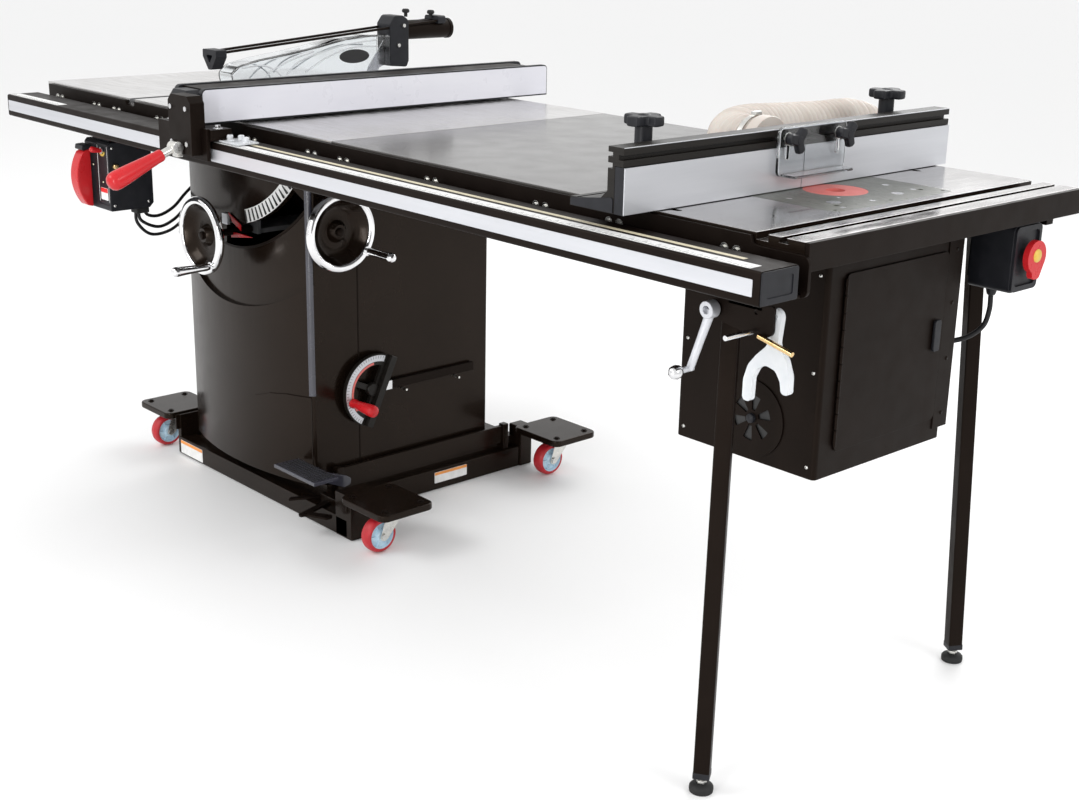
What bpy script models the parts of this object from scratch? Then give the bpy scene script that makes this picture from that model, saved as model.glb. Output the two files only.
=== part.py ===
"""Cabinet table saw with a long extension, an in-line router table and a mobile base.

Every length is in metres.  The saw's own coordinates start at the left end of the left
wing (X), at the front edge of the tables (Y) and on the floor (Z): X runs right along the
rails, Y runs back across the tables and Z runs up.  One empty carries every object and
moves the origin to the middle of the whole saw's footprint.
"""
import math

import bmesh
import bpy
from mathutils import Matrix, Vector

# ---------------------------------------------------------------- driving dimensions
TABLE_TOP = 0.876
TABLE_DEPTH = 0.686
CASTING_HEIGHT = 0.038
CASTING_SKIN = 0.020
WING_RIGHT = 0.3045
MAIN_LEFT = 0.305
MAIN_RIGHT = 0.819
WING2_LEFT = 0.8195
CASTINGS_RIGHT = 1.124
EXTENSION_LEFT = 1.1245
EXTENSION_RIGHT = 1.790
ROUTER_LEFT = 1.7905
ROUTER_RIGHT = 2.196
FRAME_RIGHT = 2.2034
RAIL_LEFT = 0.014
RAIL_RIGHT = 2.212
RAIL_FRONT = -0.106
RAIL_BACK = -0.030
RAIL_BOTTOM = 0.807
RAIL_TOP = 0.854

BLADE_X = 0.540
SLOT_LEFT = BLADE_X - 0.145
SLOT_RIGHT = BLADE_X + 0.155
BLADE_Y = 0.370
BLADE_RADIUS = 0.127
BLADE_HEIGHT = 0.025
BLADE_WIDTH = 0.0032
ARBOR_Z = TABLE_TOP + BLADE_HEIGHT - BLADE_RADIUS

CABINET_LEFT = 0.300
CABINET_RIGHT = 0.790
CABINET_CORNER_Y = 0.171
CABINET_BULGE = 0.040
CABINET_BACK = 0.655
CABINET_BOTTOM = 0.075
CABINET_TOP = 0.8375
SHEET = 0.003

WHEEL_RADIUS = 0.084
ELEVATION_HUB = Vector((0.548, 0.060, 0.600))
TILT_HUB = Vector((0.832, 0.222, 0.634))

FENCE_FACE_X = 0.837
FENCE_BOTTOM = 0.879
FENCE_TOP = 0.945

ROUTER_FENCE_FRONT = -0.072
ROUTER_FENCE_BACK = 0.711
ROUTER_FACE_X = 1.9326
BIT_CENTRE = Vector((1.976, 0.349, TABLE_TOP))

CASTER_RADIUS = 0.0375
CASTER_TRAIL = 0.030
CASTER_PLATE_TOP = 0.101
CASTERS = {
    "front_left": (0.155, 0.197),
    "front_right": (1.017, 0.202),
    "rear_left": (0.190, 0.785),
    "rear_right": (0.899, 0.785),
}
LEG_FEET = {"front": (2.072, 0.002, 1.0), "rear": (2.072, 0.674, -1.0)}

GAP = 0.0003
CENTRE_X = 1.106
CENTRE_Y = 0.27653

SAW = bpy.data.collections.new("table_saw")
CUTTERS = bpy.data.collections.new("cutters")
ORIGIN = None


# ---------------------------------------------------------------- helpers
def clear_scene():
    for obj in list(bpy.data.objects):
        bpy.data.objects.remove(obj, do_unlink=True)


def make_origin():
    """The empty that carries the whole saw and puts its footprint's middle at zero."""
    empty = bpy.data.objects.new("saw_origin", None)
    empty.location = (-CENTRE_X, -CENTRE_Y, 0.0)
    SAW.objects.link(empty)
    return empty


def material(name, colour, roughness, metallic=0.0):
    found = bpy.data.materials.get(name)
    if found:
        return found
    made = bpy.data.materials.new(name)
    made.use_nodes = True
    shader = made.node_tree.nodes["Principled BSDF"]
    shader.inputs["Base Color"].default_value = (*colour, 1.0)
    shader.inputs["Roughness"].default_value = roughness
    shader.inputs["Metallic"].default_value = metallic
    return made


def palette():
    """One material for each finish on the saw."""
    material("cast_iron", (0.50, 0.50, 0.49), 0.35, 0.9)
    material("laminate", (0.030, 0.028, 0.027), 0.30)
    material("black_paint", (0.012, 0.012, 0.013), 0.25)
    material("black_steel", (0.020, 0.019, 0.020), 0.40)
    material("black_plastic", (0.018, 0.018, 0.019), 0.50)
    material("chrome", (0.80, 0.80, 0.80), 0.10, 1.0)
    material("zinc", (0.62, 0.62, 0.60), 0.35, 1.0)
    material("aluminium", (0.58, 0.59, 0.61), 0.35, 0.9)
    material("black_anodised", (0.020, 0.020, 0.022), 0.38, 0.6)
    material("white_face", (0.78, 0.78, 0.80), 0.35)
    material("red_plastic", (0.62, 0.02, 0.03), 0.35)
    material("red_rubber", (0.55, 0.03, 0.04), 0.60)
    material("clear_plastic", (0.85, 0.88, 0.90), 0.10)
    material("blade_steel", (0.55, 0.55, 0.55), 0.25, 1.0)
    material("cream_hose", (0.74, 0.71, 0.66), 0.55)
    material("black_cord", (0.015, 0.015, 0.015), 0.55)
    material("dark_plate", (0.055, 0.056, 0.050), 0.40)


def keep(obj, finish):
    """Put a finished piece in the saw's collection, with its material."""
    obj.data.materials.clear()
    obj.data.materials.append(bpy.data.materials[finish])
    SAW.objects.link(obj)
    obj.parent = ORIGIN
    return obj


def mesh_object(name, build):
    mesh = bpy.data.meshes.new(name)
    work = bmesh.new()
    build(work)
    bmesh.ops.recalc_face_normals(work, faces=work.faces)
    work.to_mesh(mesh)
    work.free()
    return bpy.data.objects.new(name, mesh)


def block(name, low, high):
    """A box between two corners, with its origin at its middle."""
    low = Vector(low)
    high = Vector(high)
    size = high - low
    scale = Matrix.Diagonal((*size, 1.0))
    obj = mesh_object(name, lambda work: bmesh.ops.create_cube(work, size=1.0, matrix=scale))
    obj.location = (low + high) / 2
    return obj


def rod(name, start, end, radius, sides=16, end_radius=None):
    """A round bar or a cone between two points, with its origin at the first."""
    start = Vector(start)
    along = Vector(end) - start
    far = radius if end_radius is None else end_radius
    lift = Matrix.Translation((0, 0, along.length / 2))

    def build(work):
        bmesh.ops.create_cone(
            work, cap_ends=True, segments=sides, radius1=radius, radius2=far, depth=along.length, matrix=lift)

    obj = mesh_object(name, build)
    obj.location = start
    obj.rotation_euler = along.to_track_quat("Z", "Y").to_euler()
    return obj


def turned(name, profile, centre, axis, steps=24):
    """A solid of revolution: the profile is (radius, height) pairs, listed from top to bottom."""
    mesh = bpy.data.meshes.new(name)
    mesh.from_pydata([(radius, 0, height) for radius, height in profile],
                     [(i, i + 1) for i in range(len(profile) - 1)], [])
    obj = bpy.data.objects.new(name, mesh)
    screw = obj.modifiers.new("turn", "SCREW")
    screw.steps = steps
    screw.render_steps = steps
    screw.use_merge_vertices = True
    screw.merge_threshold = 0.00005
    screw.use_smooth_shade = False
    obj.location = centre
    obj.rotation_euler = Vector(axis).to_track_quat("Z", "Y").to_euler()
    return obj


def sheet(name, outline, thickness, across, at):
    """A flat outline given thickness.  across names the axis of the thickness, which starts at `at`.

    The outline's pairs are (Y, Z) across X, (X, Z) across Y and (X, Y) across Z.
    """
    curve = bpy.data.curves.new(name, "CURVE")
    curve.dimensions = "2D"
    curve.fill_mode = "BOTH"
    curve.extrude = thickness / 2
    spline = curve.splines.new("POLY")
    spline.points.add(len(outline) - 1)
    for point, (first, second) in zip(spline.points, outline):
        point.co = (first, second, 0, 1)
    spline.use_cyclic_u = True
    flat = bpy.data.objects.new(name, curve)
    bpy.context.scene.collection.objects.link(flat)
    middle = at + thickness / 2
    turn = {
        "X": Matrix(((0, 0, 1, middle), (1, 0, 0, 0), (0, 1, 0, 0), (0, 0, 0, 1))),
        "Y": Matrix(((1, 0, 0, 0), (0, 0, -1, middle), (0, 1, 0, 0), (0, 0, 0, 1))),
        "Z": Matrix.Translation((0, 0, middle)),
    }[across]
    solid = as_mesh(flat)
    solid.data.transform(turn)
    return solid


def as_mesh(source):
    """The mesh of a curve object, with its caps welded.  The curve is removed."""
    bpy.context.view_layer.update()
    graph = bpy.context.evaluated_depsgraph_get()
    mesh = bpy.data.meshes.new_from_object(source.evaluated_get(graph))
    work = bmesh.new()
    work.from_mesh(mesh)
    bmesh.ops.remove_doubles(work, verts=work.verts, dist=0.00002)
    bmesh.ops.recalc_face_normals(work, faces=work.faces)
    work.to_mesh(mesh)
    work.free()
    name = source.name
    place = source.matrix_world.copy()
    bpy.data.objects.remove(source, do_unlink=True)
    solid = bpy.data.objects.new(name, mesh)
    solid.matrix_world = place
    return solid


def smooth_path(route, spacing):
    """Points along a Catmull-Rom curve through the route, about one spacing apart."""
    route = [Vector(point) for point in route]
    ends = [route[0] * 2 - route[1]] + route + [route[-1] * 2 - route[-2]]
    fine = []
    for i in range(len(route) - 1):
        a, b, c, d = ends[i:i + 4]
        for step in range(12):
            t = step / 12
            fine.append(0.5 * (2 * b + (c - a) * t + (2 * a - 5 * b + 4 * c - d) * t * t
                               + (3 * b - a - 3 * c + d) * t ** 3))
    fine.append(route[-1])
    kept = [fine[0]]
    for point in fine[1:-1]:
        if (point - kept[-1]).length >= spacing and (point - fine[-1]).length >= spacing * 0.6:
            kept.append(point)
    return kept + [fine[-1]]


def pipe(name, route, radius, spacing, resolution=2):
    """A tube curve along a smooth route, with filled caps."""
    curve = bpy.data.curves.new(name, "CURVE")
    curve.dimensions = "3D"
    curve.bevel_depth = radius
    curve.bevel_resolution = resolution
    curve.use_fill_caps = True
    points = smooth_path(route, spacing)
    spline = curve.splines.new("POLY")
    spline.points.add(len(points) - 1)
    for point, place in zip(spline.points, points):
        point.co = (*place, 1)
    return bpy.data.objects.new(name, curve)


def solid_pipe(name, route, radius, spacing, resolution=2):
    """The same tube as a mesh, for joining to other shapes."""
    tube = pipe(name, route, radius, spacing, resolution)
    bpy.context.scene.collection.objects.link(tube)
    return as_mesh(tube)


def tool(obj):
    """File a shape among the cutters, where only Boolean modifiers use it."""
    CUTTERS.objects.link(obj)
    obj.hide_render = True
    obj.display_type = "WIRE"
    obj.parent = ORIGIN
    return obj


def combine(obj, others, operation):
    for other in others:
        boolean = obj.modifiers.new(operation.lower(), "BOOLEAN")
        boolean.operation = operation
        boolean.solver = "EXACT"
        boolean.object = tool(other)
    return obj


def joined(obj, *others):
    return combine(obj, others, "UNION")


def cut(obj, *others):
    return combine(obj, others, "DIFFERENCE")


def move_origin(obj, point):
    """Give a piece its joint's point as its origin, without moving it."""
    point = Vector(point)
    obj.data.transform(obj.rotation_euler.to_matrix().to_4x4().inverted()
                       @ Matrix.Translation(obj.location - point)
                       @ obj.rotation_euler.to_matrix().to_4x4())
    obj.location = point
    return obj


def arc(centre, radius, start, end, count):
    """Points on an arc, with its angles in degrees."""
    points = []
    for i in range(count + 1):
        angle = math.radians(start + (end - start) * i / count)
        points.append((centre[0] + radius * math.cos(angle), centre[1] + radius * math.sin(angle)))
    return points


def rounded_rectangle(low, high, radius, count=3):
    """A rectangle's outline with round corners."""
    (x0, y0), (x1, y1) = low, high
    return (arc((x1 - radius, y0 + radius), radius, -90, 0, count)
            + arc((x1 - radius, y1 - radius), radius, 0, 90, count)
            + arc((x0 + radius, y1 - radius), radius, 90, 180, count)
            + arc((x0 + radius, y0 + radius), radius, 180, 270, count))


# ---------------------------------------------------------------- tables
def casting(name, left, right):
    """A cast table: a skin with a skirt round its underside."""
    skirt = 0.010
    body = block(name, (left, 0, TABLE_TOP - CASTING_HEIGHT), (right, TABLE_DEPTH, TABLE_TOP))
    pocket = block(name + "_pocket", (left + skirt, skirt, TABLE_TOP - CASTING_HEIGHT - 0.01),
                   (right - skirt, TABLE_DEPTH - skirt, TABLE_TOP - CASTING_SKIN))
    return cut(body, pocket)


THROAT_LOW = (BLADE_X - 0.0475, 0.160)
THROAT_HIGH = (BLADE_X + 0.0475, 0.560)
THROAT_THICKNESS = 0.006


def mitre_slot(name, middle, depth=0.0095, width=0.019):
    return block(name, (middle - width / 2, -0.01, TABLE_TOP - depth),
                 (middle + width / 2, TABLE_DEPTH + 0.01, TABLE_TOP + 0.01))


def make_tables():
    keep(casting("left_wing", 0.0, WING_RIGHT), "cast_iron")
    main = casting("main_table", MAIN_LEFT, MAIN_RIGHT)
    ears = []
    for i, (front, back) in enumerate(((0.150, 0.182), (0.556, 0.588))):
        ears.append(block(f"trunnion_ear_{i}", (0.420, front, 0.790), (0.488, back, 0.860)))
    joined(main, *ears)
    opening = sheet("throat_opening", rounded_rectangle(THROAT_LOW, THROAT_HIGH, 0.03), 0.1, "Z",
                    TABLE_TOP - 0.06)
    cut(main, opening, mitre_slot("mitre_slot_left", SLOT_LEFT),
        mitre_slot("mitre_slot_right", SLOT_RIGHT))
    keep(main, "cast_iron")
    keep(casting("right_wing", WING2_LEFT, CASTINGS_RIGHT), "cast_iron")

    low = (THROAT_LOW[0] + GAP, THROAT_LOW[1] + GAP)
    high = (THROAT_HIGH[0] - GAP, THROAT_HIGH[1] - GAP)
    plate = sheet("throat_plate", rounded_rectangle(low, high, 0.0297), THROAT_THICKNESS, "Z",
                  TABLE_TOP - THROAT_THICKNESS)
    cut(plate, block("blade_slot", (BLADE_X - 0.004, 0.232, TABLE_TOP - 0.02),
                     (BLADE_X + 0.010, 0.545, TABLE_TOP + 0.01)))
    keep(plate, "dark_plate")

    board = block("extension_table", (EXTENSION_LEFT, 0.0005, TABLE_TOP - 0.036),
                  (EXTENSION_RIGHT, TABLE_DEPTH, TABLE_TOP - GAP))
    keep(board, "laminate")


# ---------------------------------------------------------------- rails
def make_rails():
    wall = 0.003
    tube = block("front_rail_tube", (RAIL_LEFT, RAIL_FRONT, RAIL_BOTTOM), (RAIL_RIGHT, RAIL_BACK, RAIL_TOP))
    bore = block("front_rail_bore", (RAIL_LEFT + wall, RAIL_FRONT + wall, RAIL_BOTTOM + wall),
                 (RAIL_RIGHT + 0.01, RAIL_BACK - wall, RAIL_TOP - wall))
    keep(cut(tube, bore), "black_steel")

    # the angle behind the tube: a foot under it and a flange against the tables
    foot = RAIL_BOTTOM - GAP - 0.004
    flange_top = 0.872
    notch = 2.108
    outline = ([(RAIL_LEFT, foot), (2.200, foot)] + arc((2.200, foot + 0.010), 0.010, -90, 0, 2)
               + arc((2.198, 0.847), 0.012, 0, 90, 3) + [(notch + 0.010, 0.859), (notch, flange_top),
                                                        (RAIL_LEFT, flange_top)])
    flange = sheet("front_rail_angle", outline, 0.006, "Y", -0.0065)
    ledge = block("rail_ledge", (RAIL_LEFT, -0.090, foot), (2.200, -0.004, foot + 0.004))
    cut(flange, *[block(f"slot_notch_{i}", (x - 0.020, -0.02, 0.862), (x + 0.020, 0.01, 0.88))
                  for i, x in enumerate((SLOT_LEFT, SLOT_RIGHT))])
    keep(joined(flange, ledge), "black_steel")

    right = 1.640
    rear = block("rear_rail", (RAIL_LEFT, TABLE_DEPTH + 0.0005, 0.812), (right, TABLE_DEPTH + 0.0055, 0.868))
    rear_ledge = block("rear_ledge", (RAIL_LEFT, TABLE_DEPTH + 0.004, 0.847),
                       (right, TABLE_DEPTH + 0.042, 0.852))
    keep(joined(rear, rear_ledge), "black_steel")


# ---------------------------------------------------------------- cabinet
def cabinet_outline(inset):
    """The cabinet in plan: three straight sides and a bowed front."""
    left = CABINET_LEFT + inset
    right = CABINET_RIGHT - inset
    half = (CABINET_RIGHT - CABINET_LEFT) / 2
    radius = (half * half + CABINET_BULGE * CABINET_BULGE) / (2 * CABINET_BULGE)
    centre = ((CABINET_LEFT + CABINET_RIGHT) / 2, CABINET_CORNER_Y - CABINET_BULGE + radius)
    reach = math.degrees(math.asin((half - inset) / (radius - inset)))
    bow = arc(centre, radius - inset, -90 - reach, -90 + reach, 12)
    return bow + [(right, CABINET_BACK - inset), (left, CABINET_BACK - inset)]


def make_cabinet():
    height = CABINET_TOP - CABINET_BOTTOM
    shell = sheet("cabinet", cabinet_outline(0.0), height, "Z", CABINET_BOTTOM)
    inside = sheet("cabinet_inside", cabinet_outline(SHEET), height + 0.1, "Z", CABINET_BOTTOM - 0.05)
    pivot = (BLADE_X, TABLE_TOP)
    reach = TABLE_TOP - ELEVATION_HUB.z
    outer = arc(pivot, reach + 0.030, -94, -38, 14)
    inner = arc(pivot, reach - 0.018, -38, -94, 14)
    slot = sheet("tilt_slot", outer + inner, 0.2, "Y", 0.05)
    shaft_hole = rod("tilt_shaft_hole", (0.74, TILT_HUB.y, TILT_HUB.z), (0.84, TILT_HUB.y, TILT_HUB.z), 0.012)
    dust_outlet = rod("dust_outlet", (0.545, 0.60, 0.20), (0.545, 0.70, 0.20), 0.050, 24)
    cut(shell, inside, slot, shaft_hole, dust_outlet)
    floor = sheet("cabinet_floor", cabinet_outline(0.001), 0.004, "Z", CABINET_BOTTOM + 0.045)
    hooks = [block(f"gauge_hook_{i}", (CABINET_RIGHT - 0.001, y, 0.252),
                   (CABINET_RIGHT + 0.030, y + 0.012, 0.2605))
             for i, y in enumerate((0.395, 0.545))]
    joined(shell, floor, *hooks)
    keep(shell, "black_paint")


# ---------------------------------------------------------------- cutting unit
def make_cutting_unit():
    front = 0.190
    back = 0.545
    plate = 0.008
    frame = sheet("tilt_frame", [(0.470, 0.590), (0.566, 0.590), (0.566, 0.640), (0.530, 0.700),
                                 (0.530, 0.790), (0.440, 0.790), (0.440, 0.640)], plate, "Y", front)
    rear = sheet("tilt_frame_rear", [(0.470, 0.590), (0.560, 0.590), (0.530, 0.700), (0.530, 0.790),
                                     (0.440, 0.790), (0.440, 0.640)], plate, "Y", back)
    bed = block("tilt_frame_bed", (0.470, front + 0.004, 0.590), (0.560, back + 0.004, 0.600))
    keep(move_origin(joined(frame, rear, bed), (BLADE_X, 0.35, TABLE_TOP)), "cast_iron")

    arbor = block("arbor_block", (0.458, 0.330, 0.660), (0.527, 0.410, 0.798))
    arm = block("spreader_arm", (0.505, 0.400, 0.715), (0.5365, 0.535, 0.760))
    motor_arm = block("motor_arm", (0.4555, 0.380, 0.640), (0.480, 0.460, 0.700))
    cut(arbor, rod("arbor_bore", (0.44, BLADE_Y, ARBOR_Z), (0.60, BLADE_Y, ARBOR_Z), 0.0092, 24))
    joined(arbor, arm, motor_arm)
    keep(arbor, "cast_iron")

    motor = turned("motor", [(0, 0.120), (0.030, 0.120), (0.062, 0.110), (0.065, 0.100), (0.065, 0.012),
                             (0.060, 0), (0, 0)], (0.335, 0.420, 0.660), (1, 0, 0), 24)
    keep(motor, "black_steel")

    half = BLADE_WIDTH / 2
    shaft = 0.0080
    profile = [(0, 0.016), (0.010, 0.016), (0.011, 0.012), (0.020, 0.010), (0.020, half),
               (BLADE_RADIUS, half), (BLADE_RADIUS, -half), (0.022, -half), (0.020, -0.011),
               (shaft, -0.011), (shaft, -0.080), (0, -0.080)]
    keep(turned("saw_blade", profile, (BLADE_X, BLADE_Y, ARBOR_Z), (1, 0, 0), 48), "blade_steel")

    thin = 0.0024
    outline = [(0.505, 0.700), (0.535, 0.700), (0.535, 0.925), (0.592, 0.945), (0.592, 0.980), (0.586, 0.988),
               (0.553, 0.988), (0.528, 0.960), (0.505, 0.925)]
    keep(sheet("spreader", outline, thin, "X", BLADE_X - thin / 2), "blade_steel")


GUARD_PIVOT = Vector((BLADE_X, 0.575, 0.975))


def make_guard():
    half = 0.027
    wall = 0.003
    outer = [(0.142, 0.910), (0.5518, 0.910), (0.5518, 0.999), (0.500, 1.001), (0.430, 0.996), (0.360, 0.983),
             (0.290, 0.972), (0.210, 0.962), (0.158, 0.952), (0.137, 0.935)]
    inner = [(0.147, 0.900), (0.560, 0.900), (0.560, 0.9955), (0.500, 0.9975), (0.431, 0.9925),
             (0.361, 0.9795), (0.291, 0.9685), (0.211, 0.9585), (0.161, 0.9485), (0.142, 0.933)]
    shell = sheet("blade_guard", outer, 2 * half, "X", BLADE_X - half)
    cut(shell, sheet("guard_inside", inner, 2 * (half - wall), "X", BLADE_X - half + wall))
    keep(move_origin(shell, GUARD_PIVOT), "clear_plastic")

    crown = [(0.5525, 0.998), (0.606, 0.998), (0.606, 1.030), (0.590, 1.040), (0.566, 1.040), (0.5525, 1.022)]
    head = sheet("guard_frame", crown, 0.050, "X", BLADE_X - 0.025)
    cheeks = [sheet(f"guard_cheek_{side}", [(0.5525, 0.930), (0.600, 0.926), (0.606, 0.940), (0.606, 1.002),
                                            (0.5525, 1.002)], 0.021, "X", left)
              for side, left in (("left", BLADE_X - 0.025), ("right", BLADE_X + 0.004))]
    port = rod("guard_port", (BLADE_X, 0.600, 1.006), (BLADE_X, 0.738, 1.006), 0.0215, 20)
    bars = [rod(f"guard_rod_{i}", (x, 0.112, 0.978), (x, 0.705, 1.026), 0.0035, 8)
            for i, x in enumerate((BLADE_X - 0.020, BLADE_X + 0.020))]
    nose = sheet("guard_nose", [(0.098, 0.984), (0.132, 0.984), (0.126, 0.950), (0.118, 0.944)], 0.052, "X",
                 BLADE_X - 0.026)
    tail = block("guard_tail", (BLADE_X - 0.026, 0.690, 1.018), (BLADE_X + 0.026, 0.712, 1.036))
    keep(move_origin(joined(head, *cheeks, port, *bars, nose, tail), GUARD_PIVOT), "black_plastic")


# ---------------------------------------------------------------- handwheels
def handwheel(name, hub, outward, shaft_length, grip_angle):
    """A dished wheel with a crank grip and its shaft.  It turns about `outward`."""
    rim = WHEEL_RADIUS
    profile = [(0, -0.002), (0.012, -0.002), (0.018, -0.006), (0.021, -0.016), (0.045, -0.018),
               (0.058, -0.010), (rim - 0.017, 0.004), (rim - 0.014, 0.007), (rim - 0.004, 0.007),
               (rim, 0.003), (rim, -0.006), (rim - 0.004, -0.009), (rim - 0.018, -0.011),
               (0.048, -0.023), (0.020, -0.026), (0.016, -0.034), (0.008, -0.034),
               (0.008, -shaft_length), (0, -shaft_length)]
    wheel = turned(name, profile, hub, outward, 32)
    turn = Vector(outward).to_track_quat("Z", "Y")
    angle = math.radians(grip_angle)
    seat = hub + turn @ (Vector((math.cos(angle), math.sin(angle), 0)) * (rim - 0.009))
    out = turn @ Vector((0, 0, 1))
    grip = rod(name + "_grip", seat, seat + out * 0.094, 0.0070, 14, 0.0105)
    grip_end = rod(name + "_grip_end", seat + out * 0.093, seat + out * 0.099, 0.0105, 14, 0.0070)
    keep(joined(wheel, grip, grip_end), "chrome")


def make_handwheels():
    handwheel("elevation_wheel", ELEVATION_HUB, (0, -1, 0), 0.124, -50)
    handwheel("tilt_wheel", TILT_HUB, (1, 0, 0), 0.078, -37)


# ---------------------------------------------------------------- rip fence
FENCE_PIVOT = Vector((0.840, -0.153, 0.843))


def make_rip_fence():
    beam = block("rip_fence", (0.747, -0.078, FENCE_BOTTOM),
                 (FENCE_FACE_X - 0.0132, 0.745, FENCE_TOP - 0.002))
    bore = block("fence_bore", (0.760, -0.070, FENCE_BOTTOM + 0.006), (0.8175, 0.80, FENCE_TOP - 0.008))
    cut(beam, bore)
    cross = block("fence_cross", (0.712, -0.114, 0.858), (0.905, -0.070, FENCE_BOTTOM - 0.0005))
    riser = block("fence_riser", (0.752, -0.110, 0.870), (0.818, -0.072, FENCE_BOTTOM + 0.020))
    plate = sheet("fence_plate", [(0.797, 0.829), (0.879, 0.829), (0.879, 0.926), (0.868, 0.938),
                                  (0.808, 0.938), (0.797, 0.926)], 0.030, "Y", -0.1405)
    lip = block("fence_lip", (0.720, -0.120, 0.820), (0.898, -0.112, 0.880))
    board = ([(-0.091, FENCE_BOTTOM), (0.784, FENCE_BOTTOM)]
             + arc((0.774, FENCE_TOP - 0.010), 0.010, 0, 90, 3)
             + arc((-0.079, FENCE_TOP - 0.012), 0.012, 90, 180, 3))
    left_face = sheet("fence_left_face", board, 0.0135, "X", 0.7340)
    keep(joined(beam, cross, riser, plate, lip, left_face), "black_steel")
    keep(sheet("rip_fence_face", board, 0.0130, "X", FENCE_FACE_X - 0.0130), "white_face")

    slope = math.radians(22)
    direction = Vector((0, -math.cos(slope), -math.sin(slope)))
    half = Vector((0.012, 0, 0))
    start, neck, end = (FENCE_PIVOT + direction * reach for reach in (0.030, 0.139, 0.150))
    boss = rod("fence_handle", FENCE_PIVOT - half, FENCE_PIVOT + half, 0.0115, 16)
    ferrule = rod("handle_ferrule", FENCE_PIVOT, FENCE_PIVOT + direction * 0.040, 0.0085, 12)
    grip = rod("handle_grip", start, neck + direction * 0.001, 0.0105, 16, 0.0175)
    tip = rod("handle_tip", neck, end, 0.0174, 16, 0.009)
    keep(joined(boss, ferrule, grip, tip), "red_plastic")


# ---------------------------------------------------------------- main switch
SWITCH_TOP = RAIL_BOTTOM - 0.0045
PADDLE_PIVOT = Vector((0.312, -0.072, 0.772))
TOGGLE_PIVOT = Vector((0.362, -0.0640, 0.768))


def make_main_switch():
    outline = [(-0.062, 0.640), (0.030, 0.640), (0.040, 0.650), (0.040, 0.787), (-0.056, 0.787),
               (-0.062, 0.780)]
    body = sheet("switch_housing", outline, 0.105, "X", 0.285)
    hanger = block("switch_hanger", (0.300, -0.050, 0.780), (0.375, 0.020, SWITCH_TOP - 0.0002))
    keep(joined(body, hanger), "black_plastic")

    bow = [(-0.066, 0.776), (-0.066, 0.642)] + arc((-0.002, 0.706), 0.098, 218, 145, 8)
    paddle = sheet("power_paddle", bow, 0.050, "X", 0.287)
    keep(move_origin(paddle, PADDLE_PIVOT), "red_plastic")

    lever = rod("start_switch", TOGGLE_PIVOT, TOGGLE_PIVOT + Vector((0, -0.024, 0.005)), 0.0045, 12, 0.0065)
    keep(lever, "red_plastic")

    routes = (
        [(0.366, 0.008, 0.6385), (0.366, 0.010, 0.605), (0.350, 0.050, 0.572), (0.310, 0.120, 0.566),
         (0.278, 0.180, 0.586), (0.268, 0.222, 0.622), (0.292, 0.246, 0.640)],
        [(0.378, 0.008, 0.6385), (0.380, 0.012, 0.612), (0.366, 0.060, 0.590), (0.322, 0.124, 0.592),
         (0.284, 0.180, 0.612), (0.272, 0.222, 0.642), (0.292, 0.246, 0.656)],
        [(0.372, 0.022, 0.6385), (0.370, 0.034, 0.620), (0.352, 0.072, 0.612), (0.312, 0.130, 0.618),
         (0.276, 0.184, 0.640), (0.270, 0.222, 0.662), (0.292, 0.246, 0.672)],
    )
    clamp = block("switch_leads", (0.358, 0.000, 0.628), (0.386, 0.030, 0.6397))
    entry = block("lead_entry", (0.283, 0.232, 0.628), (CABINET_LEFT - GAP, 0.262, 0.684))
    leads = [solid_pipe(f"lead_{i}", route, 0.0036, 0.014, 1) for i, route in enumerate(routes)]
    keep(joined(clamp, entry, *leads), "black_cord")


# ---------------------------------------------------------------- mobile base
def make_base():
    front = block("base_frame", (0.229, 0.156, 0.0), (0.929, 0.200, 0.044))
    pieces = [
        block("base_left", (0.272, 0.190, 0.0), (0.312, 0.773, 0.050)),
        block("base_right", (0.778, 0.190, 0.0), (0.818, 0.773, 0.050)),
        block("base_rear", (0.300, 0.733, 0.0), (0.800, 0.773, 0.050)),
        block("base_tray", (0.290, 0.195, 0.040), (0.800, 0.740, CABINET_BOTTOM - GAP)),
        block("base_post_fr", (0.885, 0.156, 0.0), (0.943, 0.230, 0.099)),
        block("base_post_fl", (0.2265, 0.158, 0.020), (0.241, 0.230, 0.099)),
        block("base_post_rr", (0.780, 0.735, 0.0), (0.822, 0.7725, 0.099)),
        block("base_post_rl", (0.262, 0.735, 0.0), (0.310, 0.7725, 0.099)),
        block("base_lift_bar", (0.797, 0.215, 0.082), (0.807, 0.705, 0.108)),
        block("base_lift_post", (0.795, 0.690, 0.040), (0.812, 0.706, 0.112)),
        block("base_lift_foot", (0.7955, 0.215, 0.040), (0.812, 0.232, 0.112)),
        block("base_corner", (0.795, 0.180, 0.030), (0.900, 0.225, 0.060)),
        block("caster_plate_fr", (0.930, 0.134, 0.0955), (1.083, 0.270, CASTER_PLATE_TOP)),
        block("caster_plate_fl", (0.092, 0.129, 0.0955), (0.232, 0.265, CASTER_PLATE_TOP)),
        block("caster_plate_rr", (0.815, 0.717, 0.0955), (0.967, 0.8485, CASTER_PLATE_TOP)),
        block("caster_plate_rl", (0.122, 0.717, 0.0955), (0.275, 0.8485, CASTER_PLATE_TOP)),
    ]
    joined(front, *pieces)
    cut(front, block("tray_pocket", (0.325, 0.215, 0.030), (0.765, 0.715, 0.0715)))
    keep(front, "black_paint")

    pedal = block("foot_pedal", (0.752, 0.078, 0.124), (0.902, 0.140, 0.130))
    arm = sheet("pedal_arm", [(0.130, 0.128), (0.090, 0.128), (0.205, 0.082), (0.222, 0.086), (0.224, 0.100),
                              (0.212, 0.108)], 0.012, "X", 0.838)
    keep(move_origin(joined(pedal, arm), (0.844, 0.213, 0.095)), "black_steel")


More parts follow.
